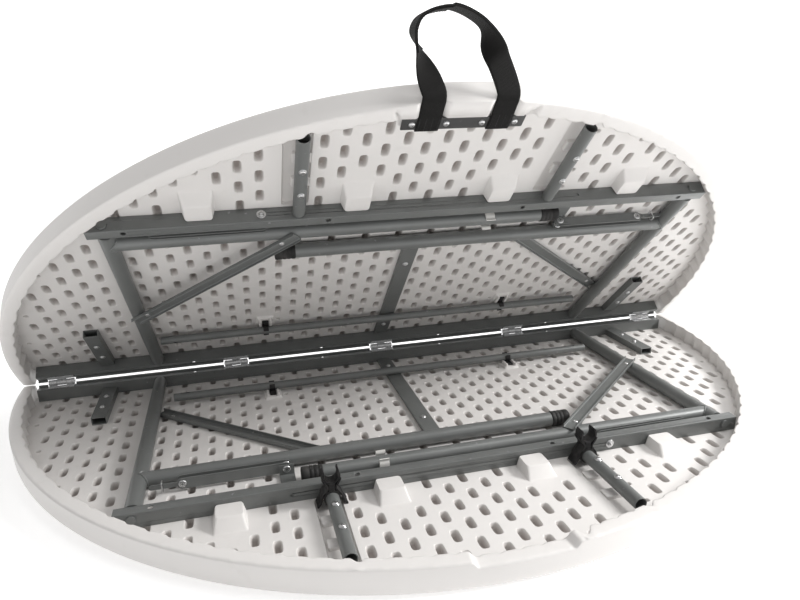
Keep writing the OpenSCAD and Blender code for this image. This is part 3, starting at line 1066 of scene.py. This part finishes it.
    def build(self) -> bpy.types.Object:
        """Make the top and give it normals that keep the field and the face flat.

        Returns:
            The new object.
        """
        skin, flat, underside = self.skin()
        if self.plan.half is Half.UPPER:
            skin = skin.mirrored()
        thing = make(self.plan, "moulded_top", skin, "half", "white_plastic", WHITE, "top", smooth=180)
        mesh = thing.data
        normals = np.empty(len(mesh.vertices) * 3, np.float32)
        mesh.vertex_normals.foreach_get("vector", normals)
        normals = normals.reshape(-1, 3)
        origin, up = self.plan.world(np.array([[0, 0, 0], [0, 0, 1]]))
        normals[flat] = (up - origin) / MM
        normals[underside] = (origin - up) / MM
        corner = np.empty(len(mesh.loops), np.int32)
        mesh.loops.foreach_get("vertex_index", corner)
        loops = normals[corner]
        last = mesh.polygons[len(mesh.polygons) - 1]
        span = slice(last.loop_start, last.loop_start + last.loop_total)
        loops[span] = np.array(last.normal)
        mesh.normals_split_custom_set(loops.tolist())
        return thing


# ---------------------------------------------------------------- fasteners


@dataclass
class Fasteners:
    """Screws, washers, bolts and rivet heads of one half."""

    plan: Plan
    head_r: float = 4.4

    def cross_head(self) -> Skin:
        """Domed screw head with a cross recess, standing on h = 0.

        The dome's rings are round; those of the recess have radius 0.9 + 1.5 |cos 2t|^5, four lobes.
        """
        t = angles(32)
        lobes = 0.9 + 1.5 * np.abs(np.cos(2 * t)) ** 5
        circle = np.stack([np.cos(t), np.sin(t)], axis=1)
        dome = ((1.00, 0.0), (1.00, 0.7), (0.94, 1.4), (0.80, 2.1), (0.62, 2.5))
        recess = ((1.0, 2.6), (0.94, 1.6), (0.6, 0.8))
        rings = [np.column_stack([circle * self.head_r * r, np.full(32, z)]) for r, z in dome]
        rings += [np.column_stack([circle * lobes[:, None] * r, np.full(32, z)]) for r, z in recess]
        return loft(np.array(rings))

    def washer(self, outer: float, inner: float, thick: float) -> Skin:
        """Flat washer on h = 0 with softened edges."""
        e = 0.25
        profile = [(inner, e), (inner, thick - e), (inner + e, thick), (outer - e, thick),
                   (outer, thick - e), (outer, e), (outer - e, 0), (inner + e, 0)]
        return lathe(profile[::-1], closed=True)

    def rivet(self, radius: float, height: float) -> Skin:
        """Domed rivet head on h = 0 with a small dimple."""
        profile = [(radius, 0), (radius, 0.3), (radius * 0.93, height * 0.5), (radius * 0.74, height * 0.85),
                   (radius * 0.45, height), (radius * 0.26, height * 0.96), (radius * 0.16, height * 0.7)]
        return lathe(profile, count=24)

    def build_screws(self) -> bpy.types.Object:
        """Put a cross-head screw on each post, stub and strut hole, and the bolt in the rail's web.

        Returns:
            The new object.
        """
        layout, sides = LAYOUT, (-1, 1)
        post_top = layout.post_h + layout.post_r - 0.15
        spots = [(side * layout.post_x, s, post_top) for side in sides for s in layout.post_screws]
        spots += [(side * layout.stub_x, s, layout.stub_top) for side in sides for s in layout.stub_screws]
        spots += [(0.0, s, layout.strut_top) for s in layout.strut_screws]
        parts = []
        for number, (x, s, h) in enumerate(spots):
            head = self.cross_head().turned(Axis.H, 37.0 * number)
            parts += [head.moved(x, s, h + 0.5), self.washer(5.6, 2.0, 0.7).moved(x, s, h)]
            parts.append(lathe([(2.0, -9), (2.2, -8.4), (2.2, 0.5)], count=16).moved(x, s, h))
        web_x = layout.pivot_x - layout.stay_reach
        bolt = [self.washer(7.2, 2.4, 1.0), lathe([(4.6, 1.0), (4.8, 1.4), (4.8, 3.2), (4.3, 3.9)], count=6)]
        bolt.append(lathe([(2.4, -7), (2.4, 4.8), (1.9, 5.6)], count=20))
        parts += [part.turned(Axis.X, -90).moved(web_x, layout.rail_s, layout.pivot_h - 2) for part in bolt]
        return make(self.plan, "cross_head_screws", joined(parts), "half", "zinc_steel", ZINC, "screws")


# ---------------------------------------------------------------- legs


@dataclass
class LegFrame:
    """Details on one leg: foot cap, welds, rivets and the stay's pins.

    Attributes:
        plan: Where the half lies.
        leg: "inner" or "outer".
        side: -1 where the pivot is on the left, 1 where it is on the right.
    """

    plan: Plan
    leg: str
    side: int

    @property
    def leg_s(self) -> float:
        """Distance of this leg from the fold."""
        return LAYOUT.inner_leg_s if self.leg == "inner" else LAYOUT.outer_leg_s

    def placed(self, skin: Skin) -> Skin:
        """Carry a skin drawn from the pivot along +x to this leg's pivot."""
        if self.side > 0:
            skin = skin.mirrored()
        return skin.moved(x=self.side * LAYOUT.pivot_x)

    def foot_cap(self) -> Skin:
        """Ribbed push-on foot: the profile swells at three ribs and closes with a round sole."""
        end = LAYOUT.leg_length
        r = LAYOUT.leg_r
        profile = [(r + 0.1, end - 34), (r + 0.9, end - 33.4), (r + 1.2, end - 32)]
        for k in range(3):
            at = end - 28 + 7 * k
            profile += [(r + 1.15, at), (r + 0.55, at + 0.7), (r + 0.55, at + 2.3), (r + 1.15, at + 3.0)]
        profile += [(r + 1.2, end - 3.2), (r + 0.9, end - 1.2), (r - 0.3, end - 0.25), (r - 2.0, end)]
        profile.append((2.0, end))
        return lathe(profile, Axis.X, 40).moved(s=self.leg_s, h=LAYOUT.pivot_h)

    def weld(self) -> Skin:
        """Rippled bead where the leg meets its pivot tube.

        Round the leg at angle t the bead is at x = r |cos t|, s = r cos t and h = r sin t.
        """
        t, r = angles(72), LAYOUT.leg_r
        out = (r + 0.5) * np.abs(np.cos(t)) ** 0.9 + 0.3
        path = np.stack([out, (r + 0.2) * np.cos(t), (r + 0.2) * np.sin(t)], axis=1)
        bead = 1.25 + 0.25 * np.sin(18 * t)
        return tube(path, bead, 8, closed=True).moved(s=self.leg_s, h=LAYOUT.pivot_h)

    def stay_pins(self) -> dict:
        """Riveted pin heads of the stay and its lock ring.

        Returns:
            Skins by the body that carries them.
        """
        rivet = Fasteners(self.plan).rivet(6.2, 2.0).turned(Axis.X, -90)
        near = self.leg == "inner"
        link_s = self.leg_s + LAYOUT.leg_r + (4.5 if near else 1.5)
        arm_s = link_s + (10 if near else 6)
        ear_s = arm_s + (4 if near else 3)
        reach, high, face = LAYOUT.stay_reach, LAYOUT.pivot_h, 2.05
        knee_x = reach * (1 - 1 / math.sqrt(2))
        loop = rounded(5.2, 8.0, 2.4, 5)
        wire = np.column_stack([np.full(len(loop), knee_x - 30), loop[:, 0] + arm_s + 1, loop[:, 1] + high])
        ring = tube(wire, 1.1, 8, True)
        low = Fasteners(self.plan).rivet(5.2, 1.3).turned(Axis.X, -90)
        return {
            f"{self.leg}_leg": (rivet if near else low).moved(reach, link_s + face, high),
            f"{self.leg}_stay_arm": joined([rivet.moved(knee_x, arm_s + face, high)] + [ring] * near),
            "half": rivet.moved(reach, ear_s + face, high),
        }

    def brace_channel(self) -> Skin:
        """Folded U channel of the brace, open to the top, with turned lips.

        The section is swept along the line between its end points and 12 mm past them.
        """
        if self.leg == "inner":
            (x0, s0), (x1, s1), low, high = (18, 164), (291, 401), 13.5, 21.5
        else:
            (x0, s0), (x1, s1), low, high = (4, 249), (270, 476), 38.6, 45.0
        w, wall, e = 11.0, 1.6, 0.5
        section = np.array([
            (-w + e, low), (w - e, low), (w, low + e), (w, high - e), (w - e, high), (w - wall + e, high),
            (w - wall, high - e), (w - wall, low + wall + 1), (w - wall - 1, low + wall),
            (wall + 1 - w, low + wall), (wall - w, low + wall + 1), (wall - w, high - e),
            (wall + e - w, high), (e - w, high), (-w, high - e), (-w, low + e)])
        run = math.hypot(x1 - x0, s1 - s0)
        over = 12.0
        rings = np.stack([np.column_stack([np.full(len(section), u), section]) for u in (-over, run + over)])
        bar = loft(rings).turned(Axis.H, math.degrees(math.atan2(s1 - s0, x1 - x0)))
        return bar.moved(x0, s0)

    def brace_rivets(self) -> Skin:
        """Rivet heads at both ends of the brace."""
        flat = Fasteners(self.plan).rivet(4.2, 1.4)
        if self.leg == "inner":
            spots = [(34, 178, 15.1), (275, 387, 15.1)]
        else:
            spots = [(18, 261, 40.2), (256, 464, 40.2)]
        return joined([flat.moved(x, s, h) for x, s, h in spots])

    def build(self) -> list:
        """Make the details of this leg.

        Returns:
            The new objects.
        """
        stem, leg = f"{self.leg}_", f"{self.leg}_leg"
        parts = [
            ("foot_cap", self.foot_cap(), leg, "black_rubber", RUBBER, (stem + "foot",), 50),
            ("leg_weld", self.weld(), leg, "grey_steel", GREY, (), 35),
            ("brace_rivets", self.brace_rivets(), leg, "zinc_steel", ZINC, (), 35),
            ("brace_channel", self.brace_channel(), leg, "grey_steel", GREY, (stem + "brace",), 35),
        ]
        for carrier, skin in self.stay_pins().items():
            parts.append((f"stay_rivets_{carrier}", skin, carrier, "zinc_steel", ZINC, (), 35))
        return [make(self.plan, stem + name, self.placed(skin), body, slot, finish, *nodes, smooth=angle)
                for name, skin, body, slot, finish, nodes, angle in parts]


# ---------------------------------------------------------------- clips


@dataclass
class Clips:
    """Moulded clips of one half: tie bar clips, leg clip and, on the lower half, the post latches."""

    plan: Plan

    def hook(self, radius: float, wall: float, gape: float, start: float, end: float, axis: Axis) -> Skin:
        """Spring hook about the stacking axis, open upwards, with lips that flare and thin out.

        The middle line is an arc of radius + wall / 2; over the last seventh of each side it opens out.

        Args:
            radius: Inner radius.
            wall: Wall at the root.
            gape: Half of the opening, in degrees.
            start: Where it begins along the axis.
            end: Where it ends.
            axis: Axis.X, with pairs (s, h), or Axis.S, with pairs (h, x).

        Returns:
            The hook, centred on the axis.
        """
        share = np.linspace(-1, 1, 45)
        angle = np.radians(-90 + share * (180 - gape))
        lip = np.clip((np.abs(share) - 0.86) / 0.14, 0, 1)
        reach = radius + wall / 2 + 2.6 * lip ** 1.5
        path = np.stack([reach * np.cos(angle), reach * np.sin(angle)], axis=1)
        if axis is Axis.S:
            path = path[:, ::-1]
        return ribbon(path, wall * (1 - 0.62 * lip), start, end, axis)

    def tie_clip(self, x: float) -> Skin:
        """Tie bar clip: hook, pillar and screwed foot."""
        s, h = LAYOUT.tie_s, LAYOUT.tie_h
        parts = [self.hook(LAYOUT.tie_r + 0.2, 2.3, 52, -5.5, 5.5, Axis.X).moved(x, s, h)]
        parts.append(block((x - 5.5, x + 5.5), (s - 6, s + 6), (16.5, h - LAYOUT.tie_r - 0.6), 1.5, 0.6))
        parts.append(block((x - 6.5, x + 6.5), (s - 9, s + 24), (16.8, 19.6), 3, 0.7))
        return joined(parts)

    def tie_pads(self, x: float) -> Skin:
        """Two raised fingers of the moulding beside the clip's foot."""
        s, wide = (LAYOUT.tie_s + 4, LAYOUT.tie_s + 30), 2.4
        return joined([block((x + d - wide, x + d + wide), s, (13, 23), 2, 1.4) for d in (-10.5, 10.5)])

    def saddles(self) -> Skin:
        """Low pads in the troughs under both screws of each post."""
        spots = [(x, s) for x in (-LAYOUT.post_x, LAYOUT.post_x) for s in LAYOUT.post_screws]
        return joined([block((x - 22, x + 12), (s - 10, s + 10), (4.5, 11.2), 2.5, 1.2) for x, s in spots])

    def hinge_lips(self) -> Skin:
        """Folded lips of the hinge rail towards the fold, in the spans between the hinges."""
        spans = ((-733, -715), (-661, -358), (-304, -27), (27, 304), (358, 661), (715, 733))
        return joined([block(span, (0.9, 3.1), (35.0, 41.2), 0.6, 0.5) for span in spans])

    def leg_clip(self) -> Skin:
        """Pair of white fingers with lips that lean over the leg, on a low base."""
        x, s = LAYOUT.leg_clip_x, LAYOUT.outer_leg_s
        gap = LAYOUT.leg_r + 2.0
        parts = [block((x - 10, x + 10), (s - gap - 4, s + gap + 4), (12, 13.2), 2, 0.5)]
        for side in (-1, 1):
            lean = ((0, 12.4), (0, 24), (0.2, 32), (1.8, 37), (0.6, 41.5))
            path = smooth([(s + side * (gap - inwards), h) for inwards, h in lean], 5)
            taper = np.interp(np.arange(len(path)), [0, 6, len(path) - 1], [3.6, 2.6, 1.5])
            parts.append(ribbon(path, taper, x - 8, x + 8, Axis.X))
        return joined(parts)

    def latch(self, x: float) -> Skin:
        """Snap clip on a post: collar, waist with a hook on top, and ribbed skirts down to the field.

        Args:
            x: Middle of the post.

        Returns:
            The clip.
        """
        low, high = LAYOUT.post_h, 2 * LAYOUT.rim_depth - LAYOUT.post_h
        start, end = LAYOUT.latch_s, LAYOUT.latch_s + LAYOUT.latch_width
        r = LAYOUT.post_r
        ring = [(r + 3.0, start), (r + 3.0, end), (r + 0.08, end), (r + 0.08, start)]
        parts = [lathe(ring, Axis.S, 48, closed=True).moved(h=low)]
        parts.append(self.hook(r + 0.35, 3.4, 50, start + 1.5, end - 1.5, Axis.S).moved(h=high))
        parts.append(block((-5, 5), (start + 1, end - 1), (low + r + 1, high - r - 1.6), 1.5, 0.7, Axis.S))
        for side in (-1, 1):
            waist = smooth([(high - 4, 13.6), (high - 10, 10.6), (high - 15.5, 7.0), (high - 20, 6.6),
                            (low + 11, 9.6), (low + 5, 14.0)], 6)
            skirt = smooth([(low + 10, 9.0), (low + 4, 14.2), (low - 3, 16.4), (low - 8, 19.0),
                            (12.3, 22.5)], 6)
            for line, width in ((waist, 2.6), (skirt, 2.8)):
                for near, far in ((start, start + 5), (end - 5, end)):
                    parts.append(ribbon(line * (1, side), width, near, far, Axis.S))
                parts.append(ribbon(line * (1, side), width * 0.55, start + 2, end - 2, Axis.S))
        return joined(parts).moved(x=x)

    def build(self) -> list:
        """Make the clips of this half.

        Returns:
            The new objects.
        """
        plan, sides = self.plan, (-LAYOUT.tie_clip_x, LAYOUT.tie_clip_x)
        hooks, fingers = (joined([form(x) for x in sides]) for form in (self.tie_clip, self.tie_pads))
        made = [
            make(plan, "tie_bar_spring_clips", hooks, "half", "black_nylon", NYLON, "tie_bar_clips",
                 bevel=0.35),
            make(plan, "tie_clip_fingers", fingers, "half", "white_plastic", WHITE, smooth=60),
            make(plan, "post_saddles", self.saddles(), "half", "white_plastic", WHITE),
            make(plan, "hinge_rail_lips", self.hinge_lips(), "half", "grey_steel", GREY),
            make(plan, "leg_rest_clip", self.leg_clip(), "half", "white_plastic", CLIP_WHITE, "leg_clip",
                 bevel=0.35),
        ]
        if plan.half is Half.LOWER:
            for side, word in ((-1, "left"), (1, "right")):
                clip = self.latch(side * LAYOUT.post_x)
                made.append(Piece(f"snap_latch_{word}", clip, plan, plan.name("half"), "black_nylon", NYLON,
                                  (f"latch_clip_{word}",), bevel=0.4).build())
        return made


# ---------------------------------------------------------------- handle


@dataclass
class Handle:
    """Webbing strap looped round its plate, over the rim's notches and up in a twisted arch."""

    plan: Plan
    thick: float = 2.0
    width: float = 32.0
    bar_s: tuple = (712.2, 732.5)
    bar_h: tuple = (36.35, 38.35)
    lean: tuple = ((50, 0), (55, 12), (60, 24), (68, 44), (75, 60), (77, 73), (70, 86), (54, 94), (29, 97),
                   (4, 89), (-16, 75), (-26, 54), (-38, 30), (-46, 12), (-50, 0))
    lap: int = 34

    def route(self) -> tuple:
        """Middle line of the strap and the direction of its width.

        Under the plate, round its near edge, back over it and over the notch; from there the
        loop stands along the true vertical (0, sin turn, -cos turn). The width points along x at
        the feet and turns to the loop's depth at the arch.

        Returns:
            Points and unit width vectors, one row each.
        """
        rise = np.array([0, math.sin(self.plan.turn), -math.cos(self.plan.turn)])
        depth = np.array([0, math.cos(self.plan.turn), math.sin(self.plan.turn)])
        foot = [(729.0, 35.25), (714.0, 35.25), (710.7, 36.1), (709.8, 37.35), (710.8, 38.7), (714.5, 39.45),
                (732.0, 39.5), (741.0, 38.4), (752.0, 37.2), (760.0, 36.4), (765.0, 34.2)]
        half = LAYOUT.strap_span / 2
        left = smooth([(half, s, h) for s, h in foot], 5)
        right = (left * (-1, 1, 1))[::-1]
        base = left[-1]
        loop = smooth([(x, 4 + up) for x, up in self.lean], 9)
        arch = np.array([0, base[1], base[2]]) + loop[:, :1] * (1, 0, 0) + loop[:, 1:] * rise
        path = np.concatenate([left, arch, right])
        height = np.concatenate([np.zeros(len(left)), loop[:, 1], np.zeros(len(right))])
        second = np.arange(len(path)) > len(left) + np.argmax(loop[:, 1])
        twist = np.where(second, np.clip((height - 38) / 46, 0, 1), np.clip((height - 8) / 74, 0, 1))
        twist = (twist * twist * (3 - 2 * twist))[:, None] * math.pi / 2
        turned = np.sin(twist) * depth
        across = np.cos(twist) * np.array([1, 0, 0]) + np.where(second[:, None], -turned, turned)
        return path, across

    def band(self, path: np.ndarray, across: np.ndarray, width: float, thick: float, lift: float) -> tuple:
        """Carry a flat rounded section along a path.

        A ring is path + u * across + v * normal, where the normal is across x tangent.

        Args:
            path: Middle line.
            across: Width directions.
            width: Width in mm.
            thick: Thickness in mm.
            lift: Shift along the normal in mm.

        Returns:
            The skin, and u and v in mm for each point.
        """
        tangent = unit(np.gradient(path, axis=0))
        flat = unit(across - (across * tangent).sum(axis=1, keepdims=True) * tangent)
        normal = np.cross(tangent, flat)
        line = np.linspace(-1, 1, 11) * (width / 2 - 0.5)
        crown = 0.12 * np.cos(line * math.pi / width)
        top = np.stack([line, thick / 2 + crown], axis=1)
        low = np.stack([line[::-1], -thick / 2 - crown], axis=1)
        side, lip = width / 2, thick * 0.28
        left, right = [(-side, lip), (-side, -lip)], [(side, -lip), (side, lip)]
        section = np.concatenate([top[::-1], left, low[::-1], right])
        over, up = section[None, :, :1], section[None, :, 1:]
        rings = path[:, None] + over * flat[:, None] + (up + lift) * normal[:, None]
        u = np.broadcast_to(section[None, :, 0], rings.shape[:2])
        v = np.broadcast_to(run_along(path)[:, None], rings.shape[:2])
        return loft(rings), np.stack([u.ravel(), v.ravel()], axis=1)

    def stitches(self, path: np.ndarray, across: np.ndarray, rows: tuple, span: tuple, lift: float) -> Skin:
        """Rows of thread dashes that run along the strap between two samples.

        Args:
            path: Middle line.
            across: Width directions.
            rows: Places of the rows across the strap, in mm.
            span: First and last sample.
            lift: Height over the middle line.

        Returns:
            The dashes.
        """
        normal = unit(np.cross(unit(np.gradient(path, axis=0)), across))
        dashes = []
        for row in rows:
            line = (path + row * across + lift * normal)[span[0]:span[1]]
            length = run_along(line)
            for start in np.arange(0.8, length[-1] - 3, 3.6):
                at = start + np.array([0, 0.5, 1.3, 2.1, 2.6])
                dash = np.stack([np.interp(at, length, line[:, k]) for k in range(3)], axis=1)
                dashes.append(tube(dash, np.array([0.12, 0.34, 0.38, 0.34, 0.12]), 6))
        return joined(dashes)

    def build(self) -> list:
        """Make the strap, its sewn-on layer, the stitches, the plate and its screws.

        Returns:
            The new objects.
        """
        path, across = self.route()
        middle, lap = len(path) // 2, self.lap
        upper = slice(middle - lap, middle + lap + 8)
        layers = [self.band(path, across, self.width, self.thick, 0.0)]
        layers.append(self.band(path[upper], across[upper], self.width - 1.0, 1.8, -1.95))
        skin, uv = joined([layer[0] for layer in layers]), np.concatenate([layer[1] for layer in layers])
        body = self.plan.name("half")
        strap = Piece("carry_strap", skin, self.plan, body, "black_webbing", STRAP, ("handle_strap",),
                      smooth=50).build()
        corner = np.empty(len(strap.data.loops), np.int32)
        strap.data.loops.foreach_get("vertex_index", corner)
        sheet = strap.data.uv_layers.new(name="UVMap")
        sheet.data.foreach_set("uv", uv[corner].astype(np.float32).ravel())
        edge = self.width / 2 - 3
        seams = [self.stitches(path, across, (-edge, edge), (middle - lap + 2, middle + lap + 6), -2.95)]
        for span in ((24, 34), (len(path) - 34, len(path) - 24)):
            for lift in (-1.15, 1.15):
                seams.append(self.stitches(path, across, (-edge, -edge / 3, edge / 3, edge), span, lift))
        thread = Piece("strap_stitches", joined(seams), self.plan, body, "black_webbing", NYLON,
                       smooth=60).build()
        fasteners = Fasteners(self.plan)
        heads = [fasteners.cross_head().turned(Axis.H, 50 * k).moved(x, self.bar_s[1] - 10, self.bar_h[1])
                 for k, x in enumerate(LAYOUT.handle_screws)]
        screws = Piece("handle_cross_head_screws", joined(heads), self.plan, body, "zinc_steel", ZINC,
                       ("handle_screws",)).build()
        bar = Piece("handle_bar", block((-86, 86), self.bar_s, self.bar_h, 1.5, 0.4), self.plan, body,
                    "dark_steel", DARK, ("handle_plate",)).build()
        return [strap, thread, screws, bar]


# ---------------------------------------------------------------- scene


@dataclass
class Bench:
    """Floor, lights and camera."""

    eye: tuple = (-0.3143, -1.3403, 0.5594)
    azimuth: float = 13.686
    elevation: float = -18.898
    roll: float = -1.604
    lens: float = 28.235
    shift: tuple = (0.0184, 0.0341)

    def camera(self) -> None:
        """Stand the camera up: azimuth from +Y towards +X, then elevation, then roll."""
        a, e, r = (math.radians(v) for v in (self.azimuth, self.elevation, self.roll))
        ahead = Vector((math.sin(a) * math.cos(e), math.cos(a) * math.cos(e), math.sin(e)))
        right = ahead.cross(Vector((0, 0, 1))).normalized()
        up = right.cross(ahead)
        tilted = right * math.cos(r) + up * math.sin(r)
        over = up * math.cos(r) - right * math.sin(r)
        data = bpy.data.cameras.new("camera")
        data.lens = self.lens
        data.sensor_width = 36
        data.shift_x, data.shift_y = self.shift
        data.clip_start = 0.02
        camera = bpy.data.objects.new("camera", data)
        turn = Matrix((tilted, over, -ahead)).transposed().to_4x4()
        camera.matrix_world = Matrix.Translation(self.eye) @ turn
        bpy.context.scene.collection.objects.link(camera)
        bpy.context.scene.camera = camera

    def light(self, name: str, place: tuple, aim: tuple, size: tuple, power: float, tint: tuple) -> None:
        """Hang one soft rectangular light."""
        data = bpy.data.lights.new(name, "AREA")
        data.shape = "RECTANGLE"
        data.size, data.size_y = size
        data.energy = power
        data.color = tint
        lamp = bpy.data.objects.new(name, data)
        lamp.location = place
        lamp.rotation_euler = (Vector(aim) - Vector(place)).to_track_quat("-Z", "Y").to_euler()
        bpy.context.scene.collection.objects.link(lamp)

    def panel(self, name: str, corners: list, finish: Finish) -> None:
        """Stand one flat sheet of the studio."""
        mesh = bpy.data.meshes.new(name)
        mesh.from_pydata(corners, [], [(0, 1, 2, 3)])
        mesh.materials.append(finish.material())
        sheet = bpy.data.objects.new(name, mesh)
        bpy.context.scene.collection.objects.link(sheet)

    def build(self) -> None:
        """Set floor, backdrop, sky, lights and camera."""
        reach, drop, far, high = 14.0, -0.0008, 7.0, 9.0
        left, right = (-reach, far, drop), (reach, far, drop)
        self.panel("floor", [(-reach, -reach, drop), (reach, -reach, drop), right, left], FLOOR)
        self.panel("backdrop", [left, right, (reach, far, high), (-reach, far, high)], BACKDROP)
        world = bpy.data.worlds.new("sky")
        world.use_nodes = True
        glow = world.node_tree.nodes["Background"].inputs
        glow["Color"].default_value = (1.0, 0.99, 0.985, 1)
        glow["Strength"].default_value = 0.5
        bpy.context.scene.world = world
        bpy.context.scene.view_settings.view_transform = "Standard"
        self.light("key", (2.2, -0.9, 1.5), (0.1, -0.3, 0.15), (0.7, 0.7), 68, (1.0, 0.99, 0.98))
        self.light("top", (0.9, -0.7, 2.6), (0.1, -0.35, 0.0), (1.2, 1.0), 18, (1.0, 1.0, 1.0))
        self.camera()


def dress_frame() -> None:
    """Give every carried-over node its finish and soft edges."""
    finish = {"grey_steel": GREY, "zinc_steel": ZINC, "dark_steel": DARK, "black_nylon": NYLON,
              "black_rubber": RUBBER, "black_webbing": STRAP, "white_plastic": CLIP_WHITE}
    slots = {part["node"]: part["material_slot"] for part in frame["record"]["subparts"]}
    for name, node in frame["nodes"].items():
        node.data.materials.clear()
        node.data.materials.append(finish[slots[name]].material())
        node.data.polygons.foreach_set("use_smooth", np.ones(len(node.data.polygons), bool))
        weld = node.modifiers.new("weld", "WELD")
        weld.merge_threshold = 0.00002
        add_bevel(node, 0.0005, 2)
        even = node.modifiers.new("even normals", "WEIGHTED_NORMAL")
        even.mode = "FACE_AREA_WITH_ANGLE"
        even.weight = 60


def plans() -> dict:
    """Work out both plans from the fold joint.

    Returns:
        The plan of each half.
    """
    fold = next(j for j in frame["joints"] if j["name"] == "fold_closing")
    turn = -math.radians(fold["range_deg"][0])
    depth = fold["pos_m"][2] / MM
    return {half: Plan(half, turn, depth) for half in Half}


def main() -> None:
    """Build the table's looks piece by piece."""
    logging.basicConfig(level=logging.INFO, format="%(message)s")
    dress_frame()
    for half, plan in plans().items():
        log.info("%s half", half.value)
        MouldedTop(plan).build()
        Fasteners(plan).build_screws()
        for leg, side in (("inner", -1), ("outer", 1)):
            LegFrame(plan, leg, side).build()
        Clips(plan).build()
        if half is Half.UPPER:
            Handle(plan).build()
    Bench().build()


if __name__ == "__main__":
    main()
